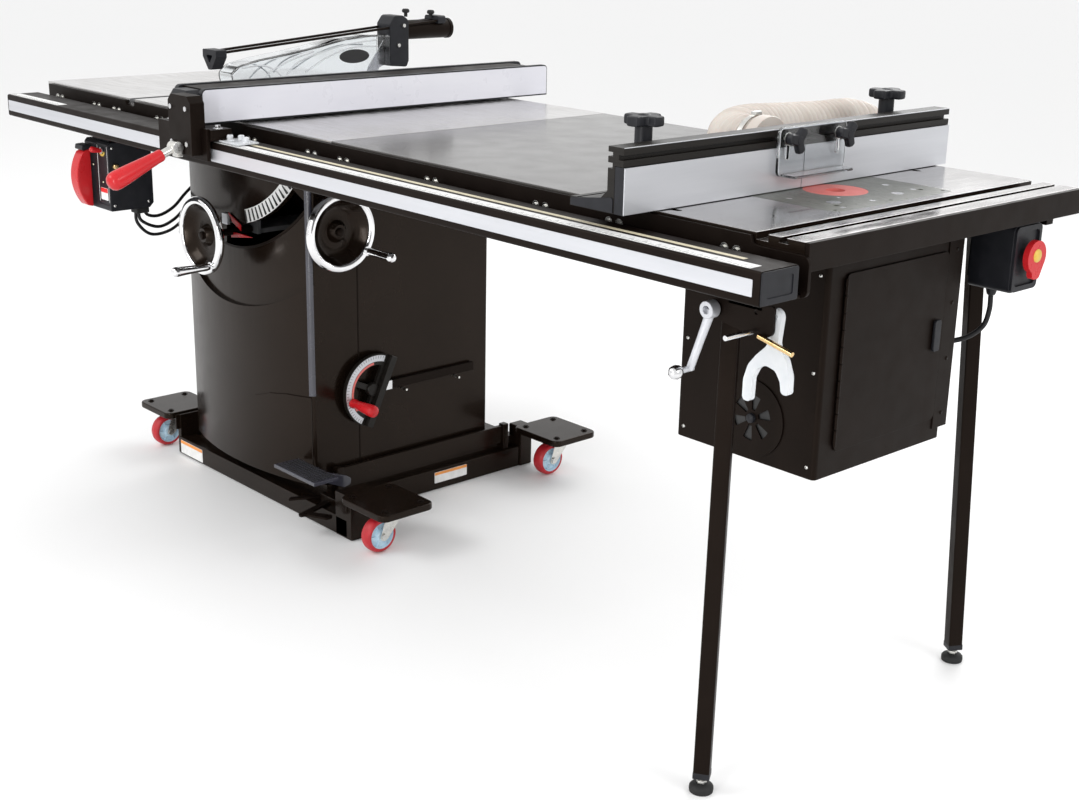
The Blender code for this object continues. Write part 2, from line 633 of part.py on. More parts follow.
def make_casters():
    for place, (x, y) in CASTERS.items():
        axle_y = y - CASTER_TRAIL
        top = 0.0955 - GAP
        crown = rod(f"caster_fork_{place}", (x, y, top), (x, y, top - 0.010), 0.026, 20)
        side = [(y + 0.022, top - 0.006), (y + 0.022, top - 0.016), (axle_y + 0.010, CASTER_RADIUS - 0.006),
                (axle_y, CASTER_RADIUS - 0.010), (axle_y - 0.010, CASTER_RADIUS - 0.004),
                (y - 0.024, top - 0.014), (y - 0.022, top - 0.006)]
        cheeks = [sheet(f"fork_cheek_{place}_{i}", side, 0.0025, "X", x + offset)
                  for i, offset in enumerate((-0.0205, 0.018))]
        axle = rod(f"fork_axle_{place}", (x - 0.021, axle_y, CASTER_RADIUS),
                   (x + 0.021, axle_y, CASTER_RADIUS), 0.0045, 10)
        keep(joined(crown, *cheeks, axle), "zinc")

        half = 0.015
        wheel = turned(f"caster_wheel_{place}",
                       [(0.0052, half), (0.014, half + 0.001), (0.026, 0.011), (0.031, half - 0.001),
                        (CASTER_RADIUS - 0.002, 0.011), (CASTER_RADIUS, 0.006), (CASTER_RADIUS, -0.006),
                        (CASTER_RADIUS - 0.002, -0.011), (0.031, -half + 0.001), (0.026, -0.011),
                        (0.014, -half - 0.001), (0.0052, -half), (0.0052, half)],
                       (x, axle_y, CASTER_RADIUS), (1, 0, 0), 24)
        keep(wheel, "red_rubber")


# ---------------------------------------------------------------- router table
def make_router_table():
    board = block("router_tabletop", (ROUTER_LEFT, 0.0005, 0.850), (ROUTER_RIGHT, TABLE_DEPTH, TABLE_TOP))
    ledge = sheet("insert_seat", rounded_rectangle((1.858, 0.200), (2.093, 0.498), 0.018), 0.05, "Z",
                  TABLE_TOP - 0.0065)
    well = sheet("insert_well", rounded_rectangle((1.868, 0.210), (2.083, 0.488), 0.012), 0.1, "Z", 0.80)
    cut(board, ledge, well, mitre_slot("router_mitre_slot", 2.1235, 0.010, 0.0205),
        mitre_slot("router_t_slot", 2.1600, 0.008, 0.010),
        sheet("fence_slot_front", rounded_rectangle((1.850, 0.021), (1.950, 0.033), 0.0059), 0.1, "Z", 0.82),
        sheet("fence_slot_rear", rounded_rectangle((1.850, 0.606), (1.950, 0.618), 0.0059), 0.1, "Z", 0.82))
    keep(board, "cast_iron")

    side = block("router_table_frame", (ROUTER_RIGHT + GAP, 0.0005, 0.836),
                 (FRAME_RIGHT, TABLE_DEPTH, 0.8755))
    under = 0.8497
    pieces = [
        block("frame_right", (2.148, 0.0005, 0.836), (2.200, TABLE_DEPTH, under)),
        block("frame_left", (ROUTER_LEFT + 0.001, 0.0005, 0.826), (1.828, TABLE_DEPTH, under)),
        block("frame_front", (1.800, 0.0005, 0.812), (2.160, 0.020, under)),
        block("frame_rear", (1.800, TABLE_DEPTH - 0.020, 0.812), (2.160, TABLE_DEPTH, under)),
        block("leg_socket_front", (2.032, 0.0005, 0.8115), (2.085, 0.060, 0.840)),
        block("leg_socket_rear", (2.032, 0.618, 0.8115), (2.085, TABLE_DEPTH, 0.840)),
    ]
    keep(joined(side, *pieces), "black_steel")

    low = (1.858 + GAP, 0.200 + GAP)
    high = (2.093 - GAP, 0.498 - GAP)
    plate = sheet("router_insert", rounded_rectangle(low, high, 0.0177), 0.0061, "Z", TABLE_TOP - 0.0062)
    drop = Vector((0, 0, 0.05))
    cut(plate, rod("bit_hole", BIT_CENTRE - drop, BIT_CENTRE + drop, 0.015, 24))
    keep(plate, "dark_plate")

    lift = turned("router_lift", [(0, 0.218), (0.009, 0.218), (0.012, 0.195), (0.016, 0.190), (0.040, 0.185),
                                  (0.052, 0.170), (0.052, 0.150), (0.045, 0.145), (0.045, 0.012), (0.038, 0),
                                  (0, 0)], (BIT_CENTRE.x, BIT_CENTRE.y, 0.630), (0, 0, 1), 24)
    carriage = block("lift_carriage", (BIT_CENTRE.x - 0.085, BIT_CENTRE.y - 0.025, 0.770),
                     (BIT_CENTRE.x + 0.085, BIT_CENTRE.y + 0.025, 0.795))
    keep(joined(lift, carriage), "aluminium")


def make_legs():
    """Square legs that splay towards the floor, each on a levelling foot."""
    half = 0.0127
    wall = 0.0016
    bottom = 0.0245
    top = 0.8105
    for place, (x, y, side) in LEG_FEET.items():
        lean = Vector((-0.028, 0.042 * side, 1.0))
        foot = Vector((x, y, bottom))
        length = (lean * (top - bottom)).length
        turn = lean.to_track_quat("Z", "Y")

        def square(size, start, end, name):
            piece = block(name, (-size, -size, start), (size, size, end))
            piece.data.transform(Matrix.Translation(piece.location))
            piece.location = foot
            piece.rotation_euler = turn.to_euler()
            return piece

        tube = square(half, 0.0, length, f"leg_{place}")
        cut(tube, square(half - wall, 0.004, length + 0.01, f"leg_bore_{place}"))
        keep(tube, "black_steel")

        stem = bottom - 0.0015
        profile = [(0, stem), (0.005, stem), (0.005, 0.014), (0.012, 0.013), (0.018, 0.010),
                   (0.019, 0.004), (0.0185, 0), (0, 0)]
        keep(turned(f"foot_{place}", profile, (x, y, 0), (0, 0, 1), 24), "black_plastic")


def make_enclosure():
    left, right = 1.853, 2.129
    front, back = 0.147, 0.467
    bottom, top = 0.487, 0.8115
    wall = 0.003
    shell = block("router_enclosure", (left, front, bottom), (right, back, top))
    cut(shell,
        block("enclosure_inside", (left + wall, front + wall, bottom + wall),
              (right - wall, back - wall, 0.9)),
        block("door_opening", (right - 0.02, 0.196, 0.535), (right + 0.02, 0.430, 0.785)),
        rod("rear_port_hole", (1.950, 0.440, 0.640), (1.950, 0.500, 0.640), 0.044, 20))
    port = rod("rear_port", (1.950, 0.4645, 0.640), (1.950, 0.505, 0.640), 0.0520, 24)
    joined(shell, port)
    cut(shell, rod("rear_port_bore", (1.950, 0.440, 0.640), (1.950, 0.600, 0.640), 0.049, 24))
    keep(shell, "black_paint")

    door = block("enclosure_door", (right + GAP, 0.186, 0.525), (right + 0.0035, 0.440, 0.795))
    keep(move_origin(door, (right + 0.0038, 0.186, 0.66)), "black_paint")


def make_router_switch():
    outline = rounded_rectangle((0.541, 0.721), (0.617, 0.828), 0.006)
    body = sheet("router_switch_housing", outline, 0.078, "X", 2.105)
    bracket = block("switch_bracket", (2.100, 0.545, 0.735), (2.112, 0.640, 0.8357))
    gland = rod("cord_gland", (2.120, 0.590, 0.723), (2.120, 0.590, 0.7005), 0.0095, 12)
    keep(joined(body, bracket, gland), "black_plastic")

    paddle = sheet("router_switch_paddle", arc((0.583, 0.778), 0.026, 0, 330, 14), 0.010, "X", 2.1880)
    stem = rod("paddle_stem", (2.1868, 0.583, 0.778), (2.189, 0.583, 0.778), 0.009, 12)
    tongue = rounded_rectangle((0.563, 0.738), (0.603, 0.776), 0.010)
    nose = sheet("paddle_tongue", tongue, 0.008, "X", 2.1885)
    keep(joined(paddle, stem, nose), "red_plastic")

    route = [(2.120, 0.590, 0.7002), (2.120, 0.590, 0.675), (2.114, 0.586, 0.648), (2.096, 0.570, 0.628),
             (2.070, 0.548, 0.618), (2.048, 0.522, 0.614), (2.036, 0.498, 0.613), (2.034, 0.482, 0.613),
             (2.034, 0.4676, 0.613)]
    keep(pipe("router_cord", route, 0.0042, 0.010, 2), "black_cord")


# ---------------------------------------------------------------- router fence
GUARD_KNOBS = {"front": 0.2695, "rear": 0.3925}
POST_KNOBS = {"front": 0.027, "rear": 0.612}


def make_router_fence():
    length = ROUTER_FENCE_BACK - ROUTER_FENCE_FRONT
    base = TABLE_TOP + 0.0006
    profile = [(1.824, base), (1.9130, base), (1.9130, 0.9440), (1.9295, 0.9440), (1.9295, 0.9535),
               (1.9200, 0.9535), (1.9200, 0.9605), (1.9295, 0.9605), (1.9295, 0.9710), (1.8990, 0.9710),
               (1.8990, 0.9630), (1.9080, 0.9630), (1.9080, 0.9570), (1.8990, 0.9570), (1.8990, 0.9480),
               (1.9080, 0.9480), (1.9080, 0.9405), (1.8990, 0.9405), (1.8990, 0.9080), (1.8850, 0.8950),
               (1.824, 0.8895)]
    body = sheet("router_fence", profile, length, "Y", ROUTER_FENCE_FRONT)
    outline = [(1.8600, base), (1.9080, base), (1.9080, 0.950), (1.8600, 0.962)]
    hood = sheet("fence_hood", outline, 0.116, "Y", 0.261)
    collar = rod("fence_port", (1.8650, 0.319, 0.932), (1.8445, 0.319, 0.932), 0.0475, 24)
    joined(body, hood, collar)
    throat = block("fence_throat", (1.880, 0.279, base - 0.01), (1.925, 0.359, 0.930))
    bore = rod("fence_port_bore", (1.890, 0.319, 0.920), (1.800, 0.319, 0.920), 0.0280, 20)
    relief = block("hose_relief", (1.800, 0.258, 0.880), (1.8445, 0.380, 0.900))
    cut(body, throat, bore, relief)
    keep(body, "black_anodised")

    middle = 0.3190
    halves = (("front", ROUTER_FENCE_FRONT, middle - 0.0004), ("rear", middle + 0.0004, ROUTER_FENCE_BACK))
    for place, low, high in halves:
        face = block(f"router_face_{place}", (1.9133, low, base), (ROUTER_FACE_X, high, 0.9436))
        keep(face, "aluminium")

    shield = sheet("bit_guard", rounded_rectangle((0.249, 0.900), (0.413, 0.975), 0.010), 0.005, "X", 1.9362)
    lip = sheet("guard_lip", rounded_rectangle((1.9362, 0.257), (1.968, 0.405), 0.004), 0.004, "Z", 0.900)
    joined(shield, lip)
    for i, y in enumerate(GUARD_KNOBS.values()):
        slot = rounded_rectangle((y - 0.004, 0.925), (y + 0.004, 0.966), 0.0039)
        cut(shield, sheet(f"guard_slot_{i}", slot, 0.02, "X", 1.930))
    keep(shield, "clear_plastic")

    height = 0.957
    for place, y in GUARD_KNOBS.items():
        stud = rod(f"guard_knob_{place}", (1.9305, y, height), (1.952, y, height), 0.003, 10)
        hub = rod(f"lobe_hub_{place}", (1.9417, y, height), (1.962, y, height), 0.0085, 12, 0.0070)
        head = sheet(f"lobe_head_{place}", lobes((y, height), 0.021, 0.0065, 3, 50), 0.010, "X", 1.955)
        keep(joined(stud, hub, head), "black_plastic")

    for place, y in POST_KNOBS.items():
        post = rod(f"post_knob_{place}", (1.870, y, 0.8947), (1.870, y, 0.992), 0.0085, 14)
        head = sheet(f"post_head_{place}", lobes((1.870, y), 0.031, 0.0105, 4, 0), 0.016, "Z", 0.988)
        keep(joined(post, head), "black_plastic")


def lobes(centre, reach, width, arms, start):
    """The outline of a knob with rounded arms.  width is half an arm's, start the first arm's angle."""
    root = width * 1.15 / math.tan(math.pi / arms)
    points = []
    for arm in range(arms):
        turn = math.radians(start + 360 * arm / arms)
        for across, along in ((-width, root), (-width * 0.8, reach - 0.003), (-width * 0.4, reach),
                              (width * 0.4, reach), (width * 0.8, reach - 0.003)):
            x = along * math.cos(turn) - across * math.sin(turn)
            y = along * math.sin(turn) + across * math.cos(turn)
            points.append((centre[0] + x, centre[1] + y))
    return points


def make_hose():
    route = [(1.8428, 0.319, 0.932), (1.8165, 0.319, 0.932), (1.808, 0.3195, 0.932), (1.782, 0.331, 0.933),
             (1.757, 0.366, 0.935), (1.747, 0.415, 0.935), (1.745, 0.500, 0.931), (1.747, 0.600, 0.928),
             (1.750, 0.672, 0.927), (1.753, 0.730, 0.907), (1.758, 0.767, 0.862), (1.768, 0.775, 0.810),
             (1.790, 0.770, 0.745), (1.845, 0.742, 0.690), (1.905, 0.690, 0.655), (1.942, 0.620, 0.642),
             (1.950, 0.560, 0.640), (1.950, 0.530, 0.640), (1.950, 0.5058, 0.640)]
    keep(pipe("dust_hose", route, 0.0450, 0.026, 3), "cream_hose")


# ---------------------------------------------------------------- stored accessories
def make_accessories():
    bar = block("mitre_gauge", (0.7925, 0.330, 0.2610), (0.8020, 0.605, 0.2800))
    head = sheet("gauge_head", arc((0.322, 0.268), 0.082, 65, 245, 14), 0.011, "X", 0.8015)
    along = Vector((math.sin(math.radians(25)), math.cos(math.radians(25)))) * 0.082
    across = Vector((along.y, -along.x)) * 0.11
    middle = Vector((0.322, 0.268)) + across
    ends = (middle + along, middle - along)
    corners = (ends[0] + across, ends[0] - across, ends[1] - across, ends[1] + across)
    outline = [tuple(corner) for corner in corners]
    spine = sheet("gauge_spine", outline, 0.0205, "X", 0.8015)
    knob = rod("gauge_handle", (0.812, 0.259, 0.252), (0.892, 0.259, 0.252), 0.0075, 14, 0.0135)
    keep(joined(bar, head, spine, knob), "aluminium")

    hook = sheet("accessory_bracket", [(2.052, 0.790), (2.180, 0.790), (2.180, 0.752), (2.160, 0.742),
                                       (2.092, 0.752), (2.052, 0.778)], 0.004, "Y", -0.0340)
    tab = block("bracket_tab", (2.100, -0.0340, 0.780), (2.160, -0.014, 0.8023))
    peg = rod("guide_pin", (2.150, -0.032, 0.752), (2.150, -0.095, 0.752), 0.0040, 10)
    keep(joined(hook, tab, peg), "zinc")

    top = Vector((2.078, -0.0415, 0.769))
    low = Vector((2.044, -0.0415, 0.676))
    arm = rod("lift_crank", top, low, 0.0070, 10, 0.0055)
    head = rod("crank_head", top + Vector((0, 0.0048, 0)), top - Vector((0, 0.012, 0)), 0.0125, 16)
    ball = rod("crank_stem", low + Vector((0, 0.006, 0)), low - Vector((0, 0.022, 0)), 0.0040, 10)
    ball_profile = [(0, 0.011), (0.006, 0.0095), (0.0105, 0.003), (0.0105, -0.003), (0.006, -0.0095),
                    (0, -0.011)]
    knob = turned("crank_ball", ball_profile, low - Vector((0, 0.029, 0)), (0, -1, 0), 14)
    keep(joined(arm, head, ball, knob), "zinc")


# ---------------------------------------------------------------- assembly
clear_scene()
bpy.context.scene.collection.children.link(SAW)
bpy.context.scene.collection.children.link(CUTTERS)
ORIGIN = make_origin()
palette()
make_tables()
make_rails()
make_cabinet()
make_cutting_unit()
make_guard()
make_handwheels()
make_rip_fence()
make_main_switch()
make_base()
make_casters()
make_router_table()
make_legs()
make_enclosure()
make_router_switch()
make_router_fence()
make_hose()
make_accessories()
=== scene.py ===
"""The looks of the cabinet table saw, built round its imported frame.

Pieces are modelled in the saw's own coordinates, in metres: X runs right from the left
wing's left end, Y runs back from the tables' front edge and Z runs up from the floor.
"""

import math

import bmesh
import bpy
from mathutils import Matrix, Vector
from mathutils.geometry import tessellate_polygon


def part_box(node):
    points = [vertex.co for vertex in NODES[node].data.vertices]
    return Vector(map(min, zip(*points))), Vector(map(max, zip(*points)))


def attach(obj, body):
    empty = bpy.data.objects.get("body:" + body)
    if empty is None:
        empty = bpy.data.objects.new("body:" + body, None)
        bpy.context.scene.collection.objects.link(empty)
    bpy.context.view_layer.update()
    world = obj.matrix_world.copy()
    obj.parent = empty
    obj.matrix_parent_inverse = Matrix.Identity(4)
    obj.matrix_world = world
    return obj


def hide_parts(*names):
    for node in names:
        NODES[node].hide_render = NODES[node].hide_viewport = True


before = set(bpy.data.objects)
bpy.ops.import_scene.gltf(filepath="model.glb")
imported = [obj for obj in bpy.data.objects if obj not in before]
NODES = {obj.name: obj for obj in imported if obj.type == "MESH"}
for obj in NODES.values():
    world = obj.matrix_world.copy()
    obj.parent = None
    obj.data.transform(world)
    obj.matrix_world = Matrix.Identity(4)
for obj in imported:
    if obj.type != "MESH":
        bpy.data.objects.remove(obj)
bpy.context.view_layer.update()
HOME = Vector((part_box("left_wing")[0].x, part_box("left_wing")[0].y, 0.0))


def span(node):
    """A CAD node's lowest and highest corners, in the saw's own coordinates."""
    low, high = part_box(node)
    return low - HOME, high - HOME


# ---------------------------------------------------------------- places taken from the frame
TOP = span("left_wing")[1].z
DEPTH = span("left_wing")[1].y
CAST_BOTTOM = span("left_wing")[0].z
BLADE = (span("saw_blade")[0] + span("saw_blade")[1]) / 2
BLADE_X = (span("spreader")[0].x + span("spreader")[1].x) / 2
BLADE_RADIUS = (span("saw_blade")[1].z - span("saw_blade")[0].z) / 2
SLOT_LEFT = BLADE_X - 0.145
SLOT_RIGHT = BLADE_X + 0.155
CABINET_LOW, CABINET_HIGH = span("cabinet")
CORNER_Y = 0.171
BULGE = CORNER_Y - CABINET_LOW.y
ELEVATION_HUB = Vector((0.548, 0.06, 0.6))
TILT_HUB = Vector((0.832, 0.222, 0.634))
BIT = Vector((1.976, 0.349, TOP))
CASTERS = {
    "front_left": (0.155, 0.197),
    "front_right": (1.017, 0.202),
    "rear_left": (0.19, 0.785),
    "rear_right": (0.899, 0.785),
}


# ---------------------------------------------------------------- camera
CAMERA_PLACE = Vector((3.441, -1.6051, 1.2951))
CAMERA_YAW = 47.5
CAMERA_PITCH = -17.8
CAMERA_ROLL = 1.2
CAMERA_LENS = 52.03


def make_camera():
    yaw, pitch, roll = (math.radians(a) for a in (CAMERA_YAW, CAMERA_PITCH, CAMERA_ROLL))
    ahead = Vector((-math.sin(yaw) * math.cos(pitch), math.cos(yaw) * math.cos(pitch), math.sin(pitch)))
    right = ahead.cross(Vector((0, 0, 1))).normalized()
    up = right.cross(ahead)
    side = right * math.cos(roll) + up * math.sin(roll)
    top = up * math.cos(roll) - right * math.sin(roll)
    turn = Matrix((side, top, -ahead)).transposed().to_4x4()
    data = bpy.data.cameras.new("camera")
    data.lens = CAMERA_LENS
    data.sensor_width = 36
    data.clip_end = 60
    camera = bpy.data.objects.new("camera", data)
    bpy.context.scene.collection.objects.link(camera)
    camera.matrix_world = Matrix.Translation(HOME + CAMERA_PLACE) @ turn
    bpy.context.scene.camera = camera


# ---------------------------------------------------------------- finishes
FINISH = {}


def shader(name, slot, colour, roughness, metallic=0.0, **sockets):
    """A named finish: a Principled shader with its constants on the shader's own sockets."""
    made = bpy.data.materials.new(name)
    made.use_nodes = True
    surface = made.node_tree.nodes["Principled BSDF"]
    surface.inputs["Base Color"].default_value = (*colour, 1.0)
    surface.inputs["Roughness"].default_value = roughness
    surface.inputs["Metallic"].default_value = metallic
    for socket, value in sockets.items():
        surface.inputs[socket.replace("_", " ").title().replace("Ior", "IOR")].default_value = value
    FINISH[name] = made
    return made


def noise(made, scale, stretch=(1, 1, 1), detail=3.0, kind="noise"):
    """A noise in the piece's own space; scale is in cells a metre, stretch multiplies it by axis."""
    tree = made.node_tree
    place = tree.nodes.new("ShaderNodeTexCoord")
    mapping = tree.nodes.new("ShaderNodeMapping")
    mapping.inputs["Scale"].default_value = [scale * s for s in stretch]
    tree.links.new(place.outputs["Object"], mapping.inputs["Vector"])
    if kind == "cells":
        texture = tree.nodes.new("ShaderNodeTexVoronoi")
        output = texture.outputs["Distance"]
    else:
        texture = tree.nodes.new("ShaderNodeTexNoise")
        texture.inputs["Detail"].default_value = detail
        output = texture.outputs["Fac"]
    texture.inputs["Scale"].default_value = 1.0
    tree.links.new(mapping.outputs["Vector"], texture.inputs["Vector"])
    return output


def remap(made, value, low, high, out_low, out_high):
    node = made.node_tree.nodes.new("ShaderNodeMapRange")
    node.inputs["From Min"].default_value = low
    node.inputs["From Max"].default_value = high
    node.inputs["To Min"].default_value = out_low
    node.inputs["To Max"].default_value = out_high
    made.node_tree.links.new(value, node.inputs["Value"])
    return node.outputs["Result"]


def tint(made, value, dark, light, low=0.3, high=0.7):
    """Base colour between two colours, driven by a noise."""
    tree = made.node_tree
    ramp = tree.nodes.new("ShaderNodeValToRGB")
    ramp.color_ramp.elements[0].position = low
    ramp.color_ramp.elements[0].color = (*dark, 1.0)
    ramp.color_ramp.elements[1].position = high
    ramp.color_ramp.elements[1].color = (*light, 1.0)
    tree.links.new(value, ramp.inputs["Fac"])
    tree.links.new(ramp.outputs["Color"], tree.nodes["Principled BSDF"].inputs["Base Color"])


def gloss(made, value, smooth, rough):
    """Roughness between two values, driven by a noise."""
    surface = made.node_tree.nodes["Principled BSDF"]
    made.node_tree.links.new(remap(made, value, 0.3, 0.7, smooth, rough), surface.inputs["Roughness"])


def bump(made, value, depth):
    """Relief of a real depth in metres."""
    tree = made.node_tree
    surface = tree.nodes["Principled BSDF"]
    node = tree.nodes.new("ShaderNodeBump")
    node.inputs["Distance"].default_value = depth
    node.inputs["Strength"].default_value = 1.0
    tree.links.new(value, node.inputs["Height"])
    tree.links.new(node.outputs["Normal"], surface.inputs["Normal"])


def metal_finishes():
    iron = shader("ground_iron", "cast_iron", (0.58, 0.57, 0.56), 0.2, 0.97)
    tint(iron, noise(iron, 6, detail=5), (0.53, 0.515, 0.505), (0.66, 0.65, 0.645))
    gloss(iron, noise(iron, 14, (1, 6, 1), 4), 0.15, 0.27)
    bump(iron, noise(iron, 60, (1, 30, 30), 2), 0.000006)

    top = shader("router_iron", "cast_iron", (0.46, 0.45, 0.45), 0.2, 0.95)
    tint(top, noise(top, 5, detail=5), (0.42, 0.405, 0.4), (0.54, 0.53, 0.53))
    gloss(top, noise(top, 12, (6, 1, 1), 4), 0.1, 0.2)
    bump(top, noise(top, 60, (30, 1, 30), 2), 0.000004)

    cast = shader("rough_casting", "cast_iron", (0.16, 0.16, 0.165), 0.55, 0.4)
    tint(cast, noise(cast, 30, detail=6), (0.12, 0.12, 0.125), (0.2, 0.2, 0.205))
    bump(cast, noise(cast, 900, detail=4), 0.00012)

    chrome = shader("chrome", "chrome", (0.86, 0.86, 0.87), 0.06, 1.0)
    gloss(chrome, noise(chrome, 40, detail=5), 0.03, 0.11)

    zinc = shader("zinc", "zinc", (0.66, 0.66, 0.64), 0.3, 1.0)
    tint(zinc, noise(zinc, 90, detail=4, kind="cells"), (0.58, 0.58, 0.57), (0.74, 0.73, 0.69), 0.0, 0.8)
    gloss(zinc, noise(zinc, 120, detail=4), 0.22, 0.38)

    silver = shader("silver", "aluminium", (0.6, 0.61, 0.64), 0.42, 0.6)
    tint(silver, noise(silver, 3, (1, 1, 14), 5), (0.57, 0.58, 0.61), (0.63, 0.64, 0.67))
    gloss(silver, noise(silver, 25, (1, 0.2, 60), 4), 0.36, 0.48)
    bump(silver, noise(silver, 40, (1, 0.5, 90), 2), 0.000008)

    bright = shader("bright_steel", "zinc", (0.72, 0.72, 0.73), 0.18, 1.0)
    gloss(bright, noise(bright, 200, detail=3), 0.12, 0.26)

    anodised = shader("black_anodised", "black_anodised", (0.012, 0.0105, 0.009), 0.36, 0.0,
                      Specular_Ior_Level=0.2)
    tint(anodised, noise(anodised, 20, (1, 0.2, 30), 4), (0.01, 0.0085, 0.0072), (0.015, 0.013, 0.011))
    gloss(anodised, noise(anodised, 30, (1, 0.2, 40), 4), 0.3, 0.44)
    bump(anodised, noise(anodised, 50, (1, 0.4, 60), 2), 0.00001)

    blade = shader("blade_steel", "blade_steel", (0.56, 0.56, 0.57), 0.25, 1.0)
    gloss(blade, noise(blade, 60, detail=4), 0.18, 0.34)
    bump(blade, noise(blade, 700, (1, 1, 1), 2), 0.000008)

    brass = shader("brass", "zinc", (0.72, 0.5, 0.24), 0.24, 1.0)
    tint(brass, noise(brass, 80, detail=4), (0.64, 0.43, 0.19), (0.78, 0.56, 0.29))
    gloss(brass, noise(brass, 150, detail=3), 0.18, 0.32)


def painted_finishes():
    # The warm brown in this black's base colour and specular tint is a painted reflection of brown
    # surroundings; the black itself is the paint's own colour.
    paint = shader("gloss_black", "black_paint", (0.007, 0.0045, 0.003), 0.2, 0.0, Coat_Weight=0.04,
                   Coat_Roughness=0.06, Specular_Ior_Level=0.17,
                   Specular_Tint=(1.0, 0.8, 0.66, 1.0))
    tint(paint, noise(paint, 9, detail=4), (0.006, 0.0035, 0.0022), (0.009, 0.0055, 0.0038))
    gloss(paint, noise(paint, 22, detail=4), 0.16, 0.26)
    bump(paint, noise(paint, 240, detail=2), 0.00003)

    # The warm brown in this black's base colour and specular tint is a painted reflection of brown
    # surroundings; the black itself is the steel's own colour.
    satin = shader("satin_black", "black_steel", (0.0055, 0.0034, 0.0026), 0.42, 0.0,
                   Specular_Ior_Level=0.1, Specular_Tint=(1.0, 0.8, 0.66, 1.0))
    tint(satin, noise(satin, 15, detail=4), (0.0045, 0.0028, 0.0022), (0.0068, 0.0043, 0.0034))
    gloss(satin, noise(satin, 30, detail=4), 0.38, 0.5)
    bump(satin, noise(satin, 1300, detail=3), 0.00004)

    # A black lightened to blue-grey under a strong coat: a painted highlight, used on the cabinet's corner
    # and on the foot pedal.
    highlight_paint = shader("painted_highlight_black", "black_paint", (0.036, 0.036, 0.05), 0.22, 0.0, Coat_Weight=0.6,
                   Coat_Roughness=0.12)
    tint(highlight_paint, noise(highlight_paint, 9, detail=4), (0.03, 0.03, 0.042), (0.044, 0.044, 0.06))
    gloss(highlight_paint, noise(highlight_paint, 22, detail=4), 0.18, 0.3)
    bump(highlight_paint, noise(highlight_paint, 240, detail=2), 0.00003)

    laminate = shader("laminate", "laminate", (0.03, 0.026, 0.023), 0.2, 0.0, Coat_Weight=0.35,
                      Coat_Roughness=0.12, Coat_Ior=1.45)
    tint(laminate, noise(laminate, 700, detail=5), (0.024, 0.021, 0.019), (0.046, 0.041, 0.037))
    gloss(laminate, noise(laminate, 18, detail=4), 0.17, 0.26)
    bump(laminate, noise(laminate, 500, detail=3), 0.00002)

    dark = shader("dark_plate", "dark_plate", (0.105, 0.108, 0.092), 0.4, 0.3)
    tint(dark, noise(dark, 25, detail=5), (0.088, 0.092, 0.078), (0.125, 0.13, 0.11))
    gloss(dark, noise(dark, 60, (1, 8, 1), 4), 0.26, 0.4)
    bump(dark, noise(dark, 900, detail=3), 0.00003)

    board = shader("white_board", "white_face", (0.7, 0.7, 0.76), 0.3, 0.0, Coat_Weight=0.3)
    tint(board, noise(board, 4, (1, 1, 5), 5), (0.68, 0.68, 0.74), (0.74, 0.74, 0.79))
    gloss(board, noise(board, 40, detail=4), 0.26, 0.36)
    bump(board, noise(board, 800, detail=3), 0.00002)


